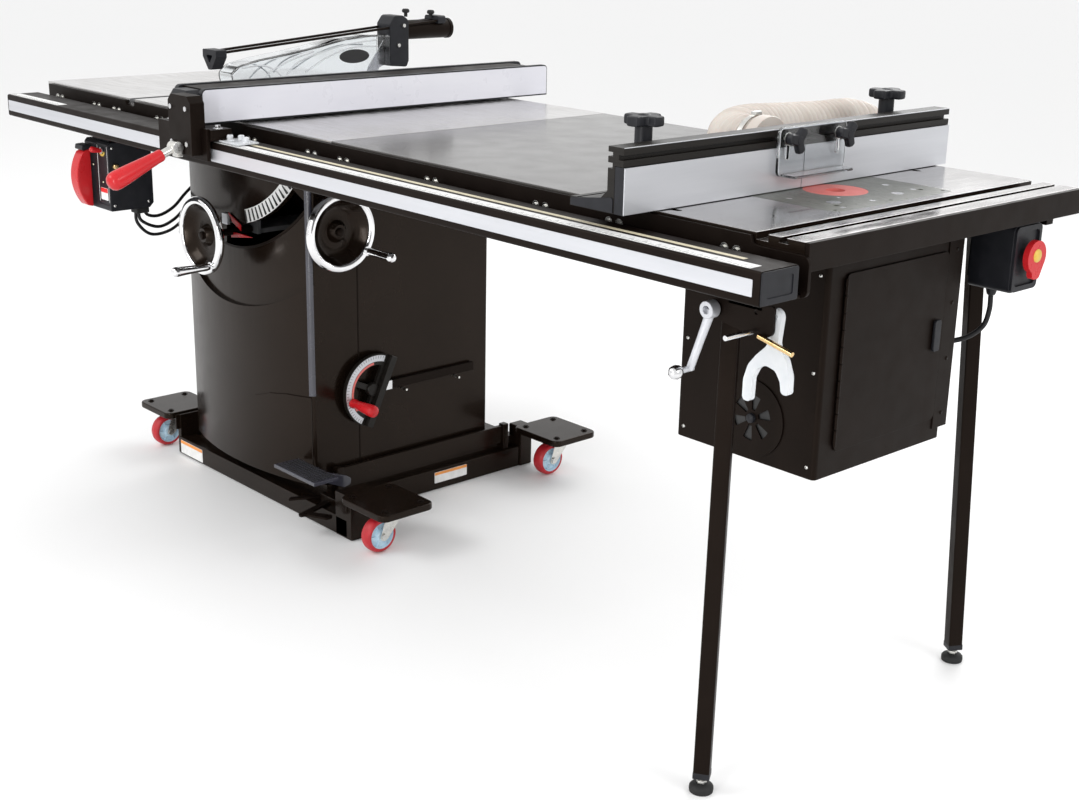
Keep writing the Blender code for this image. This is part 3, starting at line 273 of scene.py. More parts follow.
def plastic_finishes():
    plastic = shader("black_plastic", "black_plastic", (0.009, 0.0095, 0.0125), 0.42, Specular_Ior_Level=0.28)
    tint(plastic, noise(plastic, 40, detail=4), (0.0075, 0.008, 0.0105), (0.012, 0.0125, 0.016))
    gloss(plastic, noise(plastic, 60, detail=3), 0.36, 0.5)
    bump(plastic, noise(plastic, 1800, detail=2), 0.00005)

    red = shader("red_plastic", "red_plastic", (0.5, 0.012, 0.016), 0.3, 0.0, Coat_Weight=0.1,
                 Specular_Ior_Level=0.3)
    tint(red, noise(red, 12, detail=4), (0.47, 0.01, 0.014), (0.54, 0.015, 0.02))
    gloss(red, noise(red, 40, detail=4), 0.24, 0.36)
    bump(red, noise(red, 300, detail=3), 0.00002)

    tread = shader("red_tread", "red_rubber", (0.44, 0.012, 0.02), 0.45, 0.0, Subsurface_Weight=0.08)
    tint(tread, noise(tread, 60, detail=5), (0.38, 0.01, 0.016), (0.5, 0.016, 0.026))
    gloss(tread, noise(tread, 90, detail=4), 0.38, 0.6)
    bump(tread, noise(tread, 600, detail=4), 0.00006)

    hub = shader("blue_hub", "red_rubber", (0.46, 0.62, 0.74), 0.35)
    tint(hub, noise(hub, 50, detail=4), (0.42, 0.58, 0.7), (0.52, 0.68, 0.78))
    bump(hub, noise(hub, 900, detail=3), 0.00003)

    yellow = shader("yellow_plastic", "red_plastic", (0.62, 0.42, 0.06), 0.34)
    tint(yellow, noise(yellow, 50, detail=4), (0.56, 0.37, 0.045), (0.68, 0.47, 0.08))
    bump(yellow, noise(yellow, 900, detail=3), 0.00003)

    clear = shader("clear_plastic", "clear_plastic", (0.94, 0.96, 0.97), 0.05, 0.0, Transmission_Weight=1.0,
                   Ior=1.45)
    gloss(clear, noise(clear, 30, detail=4), 0.02, 0.09)

    frost = shader("frosted_plastic", "clear_plastic", (0.88, 0.91, 0.93), 0.22, 0.0,
                   Transmission_Weight=0.45)
    tint(frost, noise(frost, 60, detail=4), (0.84, 0.87, 0.9), (0.92, 0.94, 0.96))

    hose = shader("hose_skin", "cream_hose", (0.58, 0.52, 0.47), 0.5, 0.0, Subsurface_Weight=0.04)
    tint(hose, noise(hose, 20, detail=5), (0.54, 0.48, 0.43), (0.63, 0.58, 0.53))
    gloss(hose, noise(hose, 50, detail=4), 0.4, 0.58)
    bump(hose, noise(hose, 1200, detail=3), 0.00006)

    cable = shader("cable", "black_cord", (0.009, 0.009, 0.01), 0.5, Specular_Ior_Level=0.3)
    tint(cable, noise(cable, 80, detail=4), (0.007, 0.007, 0.008), (0.013, 0.013, 0.014))
    bump(cable, noise(cable, 1500, detail=3), 0.00004)

    rubber = shader("black_rubber", "black_plastic", (0.013, 0.013, 0.013), 0.65, Specular_Ior_Level=0.3)
    tint(rubber, noise(rubber, 60, detail=5), (0.01, 0.01, 0.01), (0.018, 0.018, 0.018))
    bump(rubber, noise(rubber, 1100, detail=4), 0.0001)

    salmon = shader("salmon_ring", "red_plastic", (0.66, 0.14, 0.12), 0.4)
    tint(salmon, noise(salmon, 40, detail=4), (0.62, 0.12, 0.1), (0.7, 0.16, 0.14))
    bump(salmon, noise(salmon, 900, detail=3), 0.00003)

    for name, colour in (("white_mark", (0.78, 0.78, 0.77)), ("orange_mark", (0.8, 0.3, 0.06)),
                         ("black_mark", (0.012, 0.012, 0.012)), ("red_mark", (0.7, 0.02, 0.02)),
                         ("amber_lamp", (0.75, 0.72, 0.5)), ("cream_mark", (0.62, 0.56, 0.4))):
        mark = shader(name, None, colour, 0.45)
        tint(mark, noise(mark, 70, detail=4), [c * 0.9 for c in colour], [min(1.0, c * 1.08) for c in colour])
        bump(mark, noise(mark, 900, detail=3), 0.00002)


# ---------------------------------------------------------------- shapes
SHARP = math.radians(35)
INCH = 0.0254


def soften(shape, width):
    """Round every edge that is sharper than SHARP."""
    shape.normal_update()
    edges = [e for e in shape.edges if len(e.link_faces) == 2 and e.calc_face_angle(0.0) > SHARP]
    if width and edges:
        bmesh.ops.bevel(shape, geom=edges, offset=width, segments=2, profile=0.5, affect="EDGES",
                        clamp_overlap=True)
    return shape


def box(low, high, edge=0.0008):
    low = Vector(low)
    high = Vector(high)
    shape = bmesh.new()
    place = Matrix.Translation((low + high) / 2) @ Matrix.Diagonal((*(high - low), 1.0))
    bmesh.ops.create_cube(shape, size=1.0, matrix=place)
    return soften(shape, edge)


def rod(start, end, radius, sides=28, edge=0.0004):
    start = Vector(start)
    end = Vector(end)
    along = end - start
    place = Matrix.Translation((start + end) / 2) @ along.to_track_quat("Z", "Y").to_matrix().to_4x4()
    shape = bmesh.new()
    bmesh.ops.create_cone(shape, cap_ends=True, segments=sides, radius1=radius, radius2=radius,
                          depth=along.length, matrix=place)
    return soften(shape, edge)


def lathe(profile, centre, axis, sides=48):
    """A turned solid: (radius, height) pairs from the top, down the outer side, to the bottom."""
    shape = bmesh.new()
    corners = [shape.verts.new((radius, 0, height)) for radius, height in profile]
    edges = [shape.edges.new(pair) for pair in zip(corners, corners[1:])]
    bmesh.ops.spin(shape, geom=corners + edges, cent=(0, 0, 0), axis=(0, 0, 1), dvec=(0, 0, 0),
                   angle=math.tau, steps=sides, use_merge=True, use_duplicate=False)
    bmesh.ops.remove_doubles(shape, verts=shape.verts, dist=1e-6)
    bmesh.ops.recalc_face_normals(shape, faces=shape.faces)
    place = Matrix.Translation(centre) @ Vector(axis).to_track_quat("Z", "Y").to_matrix().to_4x4()
    shape.transform(place)
    shape.normal_update()
    return shape


def lay(across, first, second, height):
    """A point of a flat outline: its pairs are (Y, Z) across X, (X, Z) across Y and (X, Y) across Z."""
    if across == "X":
        return (height, first, second)
    if across == "Y":
        return (first, height, second)
    return (first, second, height)


def plate(outline, across, low, high, edge=0.0006, holes=()):
    """A flat outline with thickness from low to high along an axis, with any holes through it."""
    loops = [list(outline)] + [list(hole) for hole in holes]
    shape = bmesh.new()
    layers = [[shape.verts.new(lay(across, a, b, height)) for loop in loops for a, b in loop]
              for height in (low, high)]
    if holes:
        flat = [[Vector((a, b, 0)) for a, b in loop] for loop in loops]
        for triangle in tessellate_polygon(flat):
            for layer in layers:
                shape.faces.new([layer[i] for i in triangle])
    else:
        for layer in layers:
            shape.faces.new(layer)
    start = 0
    for loop in loops:
        for i in range(len(loop)):
            j = start + (i + 1) % len(loop)
            shape.faces.new((layers[0][start + i], layers[0][j], layers[1][j], layers[1][start + i]))
        start += len(loop)
    bmesh.ops.recalc_face_normals(shape, faces=shape.faces)
    return soften(shape, edge)


def arc(centre, radius, start, end, count):
    points = []
    for i in range(count + 1):
        angle = math.radians(start + (end - start) * i / count)
        points.append((centre[0] + radius * math.cos(angle), centre[1] + radius * math.sin(angle)))
    return points


def circle(centre, radius, count=24):
    return arc(centre, radius, 0, 360, count)[:-1]


def rounded(low, high, radius, count=5):
    """A rectangle's outline with round corners."""
    (x0, y0), (x1, y1) = low, high
    return (arc((x1 - radius, y0 + radius), radius, -90, 0, count)
            + arc((x1 - radius, y1 - radius), radius, 0, 90, count)
            + arc((x0 + radius, y1 - radius), radius, 90, 180, count)
            + arc((x0 + radius, y0 + radius), radius, 180, 270, count))


def smooth_path(route, spacing):
    """Points along a Catmull-Rom curve through the route, about one spacing apart."""
    route = [Vector(point) for point in route]
    ends = [route[0] * 2 - route[1]] + route + [route[-1] * 2 - route[-2]]
    fine = []
    for i in range(len(route) - 1):
        a, b, c, d = ends[i:i + 4]
        for step in range(12):
            t = step / 12
            fine.append(0.5 * (2 * b + (c - a) * t + (2 * a - 5 * b + 4 * c - d) * t * t
                               + (3 * b - a - 3 * c + d) * t ** 3))
    fine.append(route[-1])
    kept = [fine[0]]
    for point in fine[1:-1]:
        if (point - kept[-1]).length >= spacing and (point - fine[-1]).length >= spacing * 0.6:
            kept.append(point)
    return kept + [fine[-1]]


def tube(points, radii, sides=20):
    """A closed round bar swept along points; radii is one radius or one for each point."""
    points = [Vector(point) for point in points]
    if not hasattr(radii, "__len__"):
        radii = [radii] * len(points)
    shape = bmesh.new()
    rings = []
    ahead = (points[1] - points[0]).normalized()
    across = ahead.orthogonal().normalized()
    for i, point in enumerate(points):
        before = points[max(i - 1, 0)]
        after = points[min(i + 1, len(points) - 1)]
        turned = (after - before).normalized()
        across = (ahead.rotation_difference(turned) @ across).normalized()
        ahead = turned
        up = ahead.cross(across)
        ring = []
        for k in range(sides):
            angle = math.tau * k / sides
            offset = across * math.cos(angle) + up * math.sin(angle)
            ring.append(shape.verts.new(point + offset * radii[i]))
        rings.append(ring)
    for lower, upper in zip(rings, rings[1:]):
        for k in range(sides):
            n = (k + 1) % sides
            shape.faces.new((lower[k], lower[n], upper[n], upper[k]))
    shape.faces.new(list(reversed(rings[0])))
    shape.faces.new(rings[-1])
    bmesh.ops.recalc_face_normals(shape, faces=shape.faces)
    return shape


def scratch_object(shape):
    mesh = bpy.data.meshes.new("scratch")
    shape.to_mesh(mesh)
    shape.free()
    made = bpy.data.objects.new("scratch", mesh)
    bpy.context.scene.collection.objects.link(made)
    return made


def carve(shape, *cutters, edge=0.0, operation="DIFFERENCE"):
    """The shape with the cutters taken out of it."""
    base = scratch_object(shape)
    tools = [scratch_object(cutter) for cutter in cutters]
    for tool in tools:
        step = base.modifiers.new("cut", "BOOLEAN")
        step.operation = operation
        step.solver = "EXACT"
        step.object = tool
    bpy.context.view_layer.update()
    graph = bpy.context.evaluated_depsgraph_get()
    result = bpy.data.meshes.new_from_object(base.evaluated_get(graph))
    carved = bmesh.new()
    carved.from_mesh(result)
    for item in [base] + tools:
        mesh = item.data
        bpy.data.objects.remove(item, do_unlink=True)
        bpy.data.meshes.remove(mesh)
    bpy.data.meshes.remove(result)
    return soften(carved, edge)


def moved(shape, matrix):
    shape.transform(matrix)
    return shape


def piece(name, shapes, finish, body="saw_stand", crease=40, weighted=True, second=None, stands_for=None):
    """One visible piece from closed shapes: it takes a finish and rides on a body.

    It stands for the CAD node of its own name, if there is one, unless stands_for says otherwise.
    second is another finish and a test of a face's (centre, normal) that says which faces take it.
    """
    total = bmesh.new()
    for shape in shapes:
        part = bpy.data.meshes.new("part")
        shape.to_mesh(part)
        shape.free()
        total.from_mesh(part)
        bpy.data.meshes.remove(part)
    mesh = bpy.data.meshes.new(name)
    total.to_mesh(mesh)
    total.free()
    mesh.shade_smooth()
    mesh.set_sharp_from_angle(angle=math.radians(crease))
    mesh.materials.append(FINISH[finish])
    if second:
        mesh.materials.append(FINISH[second[0]])
        for face in mesh.polygons:
            face.material_index = int(second[1](face.center, face.normal))
    made = bpy.data.objects.new(name, mesh)
    bpy.context.scene.collection.objects.link(made)
    made.location = HOME
    if weighted:
        made.modifiers.new("flat_faces", "WEIGHTED_NORMAL").keep_sharp = True
    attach(made, body)
    if stands_for is None:
        stands_for = [name] if name in NODES else []
    if stands_for:
        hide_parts(*stands_for)
    return made


def hex_bolt(place, axis, across=0.01, height=0.0045, washer=True):
    """A hexagon head on a washer, standing on a face at `place` along `axis`."""
    place = Vector(place)
    axis = Vector(axis).normalized()
    shapes = []
    start = place
    if washer:
        shapes.append(rod(place, place + axis * 0.0012, across * 0.95, sides=24, edge=0.0002))
        start = place + axis * 0.001
    shapes.append(rod(start, start + axis * height, across / 2 * 1.155, sides=6, edge=0.0004))
    return shapes


def pan_screw(place, axis, radius):
    """A low round head with a cross recess."""
    height = 0.0016
    profile = [(0, height), (radius * 0.55, height * 0.95), (radius * 0.85, height * 0.6), (radius, 0.0),
               (0, 0.0)]
    head = lathe(profile, place, axis, 20)
    turn = Matrix.Translation(place) @ Vector(axis).to_track_quat("Z", "Y").to_matrix().to_4x4()
    arms = [moved(box((-radius * 0.5, -0.0003, height * 0.55), (radius * 0.5, 0.0003, height * 1.05), 0),
                  turn),
            moved(box((-0.0003, -radius * 0.5, height * 0.55), (0.0003, radius * 0.5, height * 1.05), 0),
                  turn)]
    return head, arms


def screws(name, places, axis, radius, finish="zinc"):
    """A row of pan-head screws as one piece, with their cross recesses as another."""
    heads = []
    marks = []
    for place in places:
        head, arms = pan_screw(place, axis, radius)
        heads.append(head)
        marks.extend(arms)
    piece(name, heads, finish)
    piece(name + "_slots", marks, "black_mark", weighted=False)


def dress(finish, *nodes):
    """CAD nodes whose shape is kept take a finish."""
    for node in nodes:
        for holder in NODES[node].material_slots:
            holder.material = FINISH[finish]


def fillet(outline, rules, count=5):
    """The outline with some corners rounded: rules gives {index: radius}."""
    points = []
    total = len(outline)
    for i, corner in enumerate(outline):
        if i not in rules:
            points.append(tuple(corner))
            continue
        here = Vector(corner)
        back = (Vector(outline[i - 1]) - here).normalized()
        ahead = (Vector(outline[(i + 1) % total]) - here).normalized()
        half = back.angle(ahead) / 2
        reach = rules[i] / math.tan(half)
        centre = here + (back + ahead).normalized() * (rules[i] / math.sin(half))
        start = here + back * reach - centre
        end = here + ahead * reach - centre
        for step in range(count + 1):
            turn = start.lerp(end, step / count).normalized() * rules[i]
            points.append(tuple(centre + turn))
    return points


# ---------------------------------------------------------------- tables
def make_casting(name, left, right, cutters, extra=()):
    """A cast table: ground above and on its long edges, with ribbed hollows underneath."""
    skirt = 0.01
    skin = 0.02
    rows = 4
    columns = 2 if right - left < 0.4 else 3
    rib = 0.007
    body = box((left, 0, CAST_BOTTOM), (right, DEPTH, TOP), 0)
    ceiling = TOP - skin
    far_corner = (right - skirt, DEPTH - skirt, ceiling - 0.003)
    hollows = [box((left + skirt, skirt, CAST_BOTTOM - 0.01), far_corner, 0)]
    wide = (right - left - 2 * skirt - rib * (columns - 1)) / columns
    deep = (DEPTH - 2 * skirt - rib * (rows - 1)) / rows
    for i in range(columns):
        for j in range(rows):
            x = left + skirt + i * (wide + rib)
            y = skirt + j * (deep + rib)
            hollows.append(box((x, y, ceiling - 0.02), (x + wide, y + deep, ceiling + 0.004), 0))
    shape = carve(body, *hollows, *cutters, edge=0.0009)
    under = TOP - 0.0012

    def rough(centre, normal):
        side = centre.z < under and normal.z < 0.5 and abs(normal.y) < 0.9
        return side or centre.z < CAST_BOTTOM + 0.03 and normal.z < -0.5
    piece(name, [shape, *extra], "ground_iron", second=("rough_casting", rough))


def t_slot(middle):
    """The two cutters of a mitre slot with a wider foot."""
    half = 0.0095
    floor = TOP - 0.0095
    wide = half + 0.002
    upper = box((middle - half, -0.01, floor), (middle + half, DEPTH + 0.01, TOP + 0.01), 0)
    foot = box((middle - wide, -0.01, floor), (middle + wide, DEPTH + 0.01, floor + 0.0032), 0)
    return [upper, foot]


def make_tables():
    for name in ("left_wing", "right_wing"):
        low, high = span(name)
        make_casting(name, low.x, high.x, [])
    low, high = span("main_table")
    throat_low, throat_high = span("throat_plate")
    opening = plate(rounded((throat_low.x - 0.0003, throat_low.y - 0.0003),
                            (throat_high.x + 0.0003, throat_high.y + 0.0003),
                            0.03, 8), "Z", TOP - 0.06, TOP + 0.04, 0)
    ears = [box((0.42, y, 0.79), (0.488, y + 0.032, 0.86), 0.002) for y in (0.15, 0.556)]
    make_casting("main_table", low.x, high.x, [opening, *t_slot(SLOT_LEFT), *t_slot(SLOT_RIGHT)], ears)

    slot = rounded((BLADE_X - 0.004, 0.232), (BLADE_X + 0.01, 0.545), 0.0035)
    screw_places = [(BLADE_X + x, y) for x in (-0.032, 0.034) for y in (0.205, 0.515)]
    finger = circle((BLADE_X - 0.026, 0.187), 0.009)
    outline = rounded((throat_low.x, throat_low.y), (throat_high.x, throat_high.y), 0.0297, 8)
    insert = plate(outline, "Z", throat_low.z, TOP, 0.0005, [slot, finger]
                   + [circle(place, 0.0035, 14) for place in screw_places])
    piece("throat_plate", [insert], "dark_plate")
    piece("throat_screws", [rod((x, y, TOP - 0.0052), (x, y, TOP - 0.0014), 0.0031, sides=16)
                            for x, y in screw_places],
          "bright_steel")

    low, high = span("extension_table")
    board = box((low.x, low.y, low.z), (high.x, high.y, high.z), 0.0014)
    piece("extension_table", [board], "laminate")
    brace = [box((low.x + 0.01, y, low.z - 0.028), (high.x - 0.006, y + 0.02, low.z + 0.001), 0.0015)
             for y in (0.03, DEPTH - 0.06)]
    piece("extension_braces", brace, "satin_black")


# ---------------------------------------------------------------- rails
def make_rails():
    low, high = span("front_rail_tube")
    wall = 0.003
    outline = rounded((low.y, low.z), (high.y, high.z), 0.004)
    hole = rounded((low.y + wall, low.z + wall), (high.y - wall, high.z - wall), 0.002)
    skin = plate(outline, "X", low.x, high.x, 0, [hole])
    shut = plate(outline, "X", low.x - 0.0012, low.x + 0.002, 0.0008)
    piece("front_rail_tube", [skin, shut], "satin_black", crease=30)
    cap = plate(rounded((low.y + 0.0012, low.z + 0.0012), (high.y - 0.0012, high.z - 0.0012), 0.003), "X",
                high.x - 0.004, high.x + 0.0022, 0.0012)
    socket = plate(rounded((low.y + 0.012, low.z + 0.01), (high.y - 0.012, high.z - 0.01), 0.003), "X",
                   high.x + 0.001, high.x + 0.006, 0)
    piece("rail_end_cap", [carve(cap, socket)], "black_plastic")

    strip = plate(rounded((low.x + 0.004, 0.819), (high.x - 0.012, 0.842), 0.001), "Y", low.y - 0.0007,
                  low.y + 0.0003, 0.0002)
    piece("rail_front_strip", [strip], "silver")

    low, high = span("front_rail_angle")
    flange_top = high.z
    notch = 2.108
    end = 2.2
    flange = ([(low.x, low.z), (end, low.z)] + arc((end, low.z + 0.01), 0.01, -90, 0, 6)
              + arc((2.198, 0.847), 0.012, 0, 90, 8)
              + fillet([(notch + 0.016, 0.859), (notch + 0.004, 0.861), (notch, flange_top)], {1: 0.004})
              + [(low.x, flange_top)])
    back = plate(flange, "Y", -0.0065, -0.0005, 0.0006)
    for middle in (SLOT_LEFT, SLOT_RIGHT):
        notch_cut = plate(fillet([(middle - 0.02, 0.9), (middle - 0.018, 0.862), (middle + 0.018, 0.862),
                                  (middle + 0.02, 0.9)],
                                 {1: 0.004, 2: 0.004}), "Y", -0.03, 0.03, 0)
        back = carve(back, notch_cut)
    ledge = box((low.x, -0.09, low.z), (end, -0.004, low.z + 0.004), 0.0006)
    piece("front_rail_angle", [back, ledge], "satin_black")
    bolts = []
    for middle in (0.07, 0.245, 0.335, 0.52, 0.77, 0.87, 1.07, 1.17, 1.42, 1.69, 1.85, 2.075):
        for x in (middle - 0.011, middle + 0.011):
            bolts.extend(hex_bolt((x, -0.0065, 0.8465), (0, -1, 0), 0.008, 0.0035))
    piece("rail_bolts", bolts, "zinc")

    low, high = span("rear_rail")
    web = box((low.x, low.y, low.z), (high.x, low.y + 0.005, high.z), 0.0006)
    shelf = box((low.x, low.y + 0.004, 0.847), (high.x, high.y, 0.852), 0.0006)
    piece("rear_rail", [web, shelf], "satin_black")
    bolts = []
    for x in (0.075, 0.235, 0.34, 0.56, 0.79, 0.875, 1.08, 1.18, 1.4, 1.6):
        bolts.extend(hex_bolt((x, low.y + 0.005, 0.829), (0, 1, 0), 0.01, 0.005))
    piece("rear_rail_bolts", bolts, "zinc")
    make_scale()


def make_scale():
    """The white scale along the rail's top, its graduations and the cream line behind it."""
    low, high = span("front_rail_tube")
    near = low.y + 0.005
    far = near + 0.023
    cream = box((0.86, near + 0.034, high.z - 0.0002), (2.15, near + 0.043, high.z + 0.0004), 0.0002)
    piece("rail_cream_line", [cream], "cream_mark")
    for name, left, right in (("right", 0.85, 2.19), ("left", 0.02, 0.25)):
        tape = box((left, near, high.z - 0.0002), (right, far, high.z + 0.0005), 0.0002)
        piece(f"rail_scale_{name}", [tape], "white_mark")
        ticks = []
        step = INCH / 4
        count = int((right - left - 0.006) / step)
        for i in range(count + 1):
            x = left + 0.003 + i * step
            length = 0.014 if i % 4 == 0 else 0.009 if i % 2 == 0 else 0.006
            ticks.append(box((x - 0.00022, near + 0.001, high.z + 0.0003),
                             (x + 0.00022, near + length, high.z + 0.0007), 0))
        piece(f"rail_scale_ticks_{name}", ticks, "black_mark", weighted=False)


# ---------------------------------------------------------------- cabinet
HALF_WIDTH = 0.245
BOW_RADIUS = (HALF_WIDTH * HALF_WIDTH + BULGE * BULGE) / (2 * BULGE)
BOW_CENTRE = (CABINET_LOW.x + HALF_WIDTH, CABINET_LOW.y + BOW_RADIUS)
BOW_REACH = 18.3
RECESS = 0.0085
SLOT_INNER = 0.258
SLOT_OUTER = 0.306
SCALE_MIDDLE = 0.243
OUTLET_X = 0.545
OUTLET_Z = 0.2


def bow_outline(inset, front_inset, corner):
    """The cabinet in plan, with a bowed front and rounded corners."""
    left = CABINET_LOW.x + inset
    right = CABINET_LOW.x + 2 * HALF_WIDTH - inset
    reach = math.degrees(math.asin((HALF_WIDTH - inset) / (BOW_RADIUS - front_inset)))
    bow = arc(BOW_CENTRE, BOW_RADIUS - front_inset, -90 - reach, -90 + reach, 24)
    back = CABINET_HIGH.y - inset
    return fillet(bow + [(right, back), (left, back)], {0: corner, 24: corner, 25: 0.006, 26: 0.006}, 8)


def bow_shell(outer, inner, low, high):
    """A thin curved sheet along the bowed front, between two insets and two heights."""
    start, end = -90 - BOW_REACH, -90 + BOW_REACH
    return plate(arc(BOW_CENTRE, BOW_RADIUS - outer, start, end, 36)
                 + arc(BOW_CENTRE, BOW_RADIUS - inner, end, start, 36), "Z", low, high, 0)


def bow_y(x, inset):
    """Where the bowed front stands at x, seen from above."""
    across = x - CABINET_LOW.x - HALF_WIDTH
    return CABINET_LOW.y + BOW_RADIUS - math.sqrt((BOW_RADIUS - inset) ** 2 - across ** 2)


def front_patch(sheet, outline, edge=0.0):
    """The part of a bowed sheet inside an outline, seen from the front."""
    return carve(sheet, plate(outline, "Y", 0.05, 0.25, 0), edge=edge, operation="INTERSECT")


def make_cabinet():
    bottom, top = CABINET_LOW.z, CABINET_HIGH.z
    shell = plate(bow_outline(0, 0, 0.011), "Z", bottom, top, 0.0015)
    inside = plate(bow_outline(0.003, 0.02, 0.01), "Z", bottom + 0.0495, top + 0.1, 0)
    pivot = (BLADE_X, TOP)
    dish = carve(rod((BLADE_X, 0.02, TOP), (BLADE_X, 0.3, TOP), 0.435, sides=160, edge=0),
                 plate(bow_outline(-0.001, RECESS, 0.012), "Z", 0.3, 0.98, 0))
    slot = plate(arc(pivot, SLOT_OUTER, -94, -38, 48) + arc(pivot, SLOT_INNER, -38, -94, 48), "Y", 0.05,
                 0.25, 0)
    shaft = rod((0.74, TILT_HUB.y, TILT_HUB.z), (0.84, TILT_HUB.y, TILT_HUB.z), 0.012, edge=0)
    outlet = rod((OUTLET_X, 0.6, OUTLET_Z), (OUTLET_X, 0.7, OUTLET_Z), 0.05, sides=40, edge=0)
    body = carve(shell, inside, dish, slot, shaft, outlet, edge=0.0012)
    piece("cabinet", [body], "gloss_black", crease=28)
    # A thin shell over the rounded front right corner in the lightened blue-grey black: a painted highlight
    # running down the corner.
    corner = carve(plate(bow_outline(-0.0005, -0.0005, 0.0112), "Z", 0.2785, top - 0.004, 0),
                   plate(bow_outline(0.0008, 0.0008, 0.0104), "Z", bottom, top + 0.01, 0))
    corner = carve(corner, box((0.781, 0.1, bottom), (0.8, 0.1785, top), 0), operation="INTERSECT")
    piece("cabinet_corner_painted_highlight", [corner], "painted_highlight_black", crease=50)
    collar = plate(circle((OUTLET_X, OUTLET_Z), 0.054, 40), "Y", CABINET_HIGH.y - 0.004,
                   CABINET_HIGH.y + 0.004, 0.0008,
                   [circle((OUTLET_X, OUTLET_Z), 0.0495, 40)])
    piece("dust_outlet_rim", [collar], "satin_black")
    hooks = []
    for y in (0.401, 0.551):
        hooks.append(tube([(0.789, y, 0.2563), (0.8165, y, 0.2563)], 0.0026, 12))
    piece("gauge_hooks", hooks, "zinc")

    # the scale, its red pointers and the raised lower panel
    inner = RECESS + 0.001
    band = arc(pivot, 0.257, -76, -38, 40) + arc(pivot, 0.228, -38, -76, 40)
    piece("tilt_scale", [front_patch(bow_shell(RECESS - 0.0007, inner, 0.6, 0.8), band)], "white_mark",
          weighted=False)
    ticks = []
    for i in range(13):
        angle = math.radians(-75.6 + 3.1 * i)
        x = BLADE_X + math.cos(angle) * SCALE_MIDDLE
        middle = Vector((x, bow_y(x, RECESS) - 0.0007, TOP + math.sin(angle) * SCALE_MIDDLE))
        turn = Matrix.Translation(middle) @ Matrix.Rotation(-angle, 4, "Y")
        ticks.append(moved(box((-0.0128, -0.0016, -0.0016), (0.0128, 0.0016, 0.0016), 0), turn))
    piece("tilt_scale_ticks", ticks, "black_mark", weighted=False)
    rim = arc(pivot, SLOT_OUTER + 0.005, -95, -37, 48) + arc(pivot, SLOT_OUTER, -37, -95, 48)
    piece("slot_rim", [front_patch(bow_shell(RECESS - 0.0016, inner, 0.55, 0.8), rim)], "satin_black",
          weighted=False)
    arrows = []
    for outline in ([(0.535, 0.64), (0.552, 0.621), (0.584, 0.607), (0.584, 0.62)],
                    [(0.544, 0.586), (0.632, 0.6), (0.544, 0.6)]):
        front = bow_y(sum(x for x, z in outline) / len(outline), RECESS) - 0.0042
        arrows.append(plate(outline, "Y", front, front + 0.0022, 0.0005))
    piece("tilt_pointers", arrows, "red_plastic")
    stop = bow_y(0.524, RECESS)
    piece("tilt_stop_block", [box((0.512, stop - 0.006, 0.612), (0.534, stop + 0.002, 0.636), 0.0012)],
          "silver")

    face = [(0.395, 0.08), (0.424, 0.112), (0.47, 0.153), (0.524, 0.192), (0.57, 0.223), (0.62, 0.248),
            (0.67, 0.264), (0.72, 0.272), (0.79, 0.276), (0.79, 0.08)]
    piece("cabinet_lower_panel", [front_patch(bow_shell(-0.003, 0.002, 0.075, 0.3), face, 0.001)],
          "gloss_black")
    seam = [box((0.7895, 0.2895, bottom + 0.006), (0.7908, 0.2925, top - 0.006), 0.0004)]
    piece("cabinet_side_seam", seam, "satin_black")
    cover = plate(rounded((0.325, 0.15), (0.6, 0.7), 0.02), "X", CABINET_LOW.x - 0.004,
                  CABINET_LOW.x + 0.001, 0.001)
    piece("cabinet_motor_cover", [cover], "gloss_black")
    spots = [(0.345, 0.68), (0.58, 0.68), (0.345, 0.17), (0.58, 0.17)]
    screws("motor_cover_screws", [(CABINET_LOW.x - 0.004, y, z) for y, z in spots], (-1, 0, 0), 0.0045)


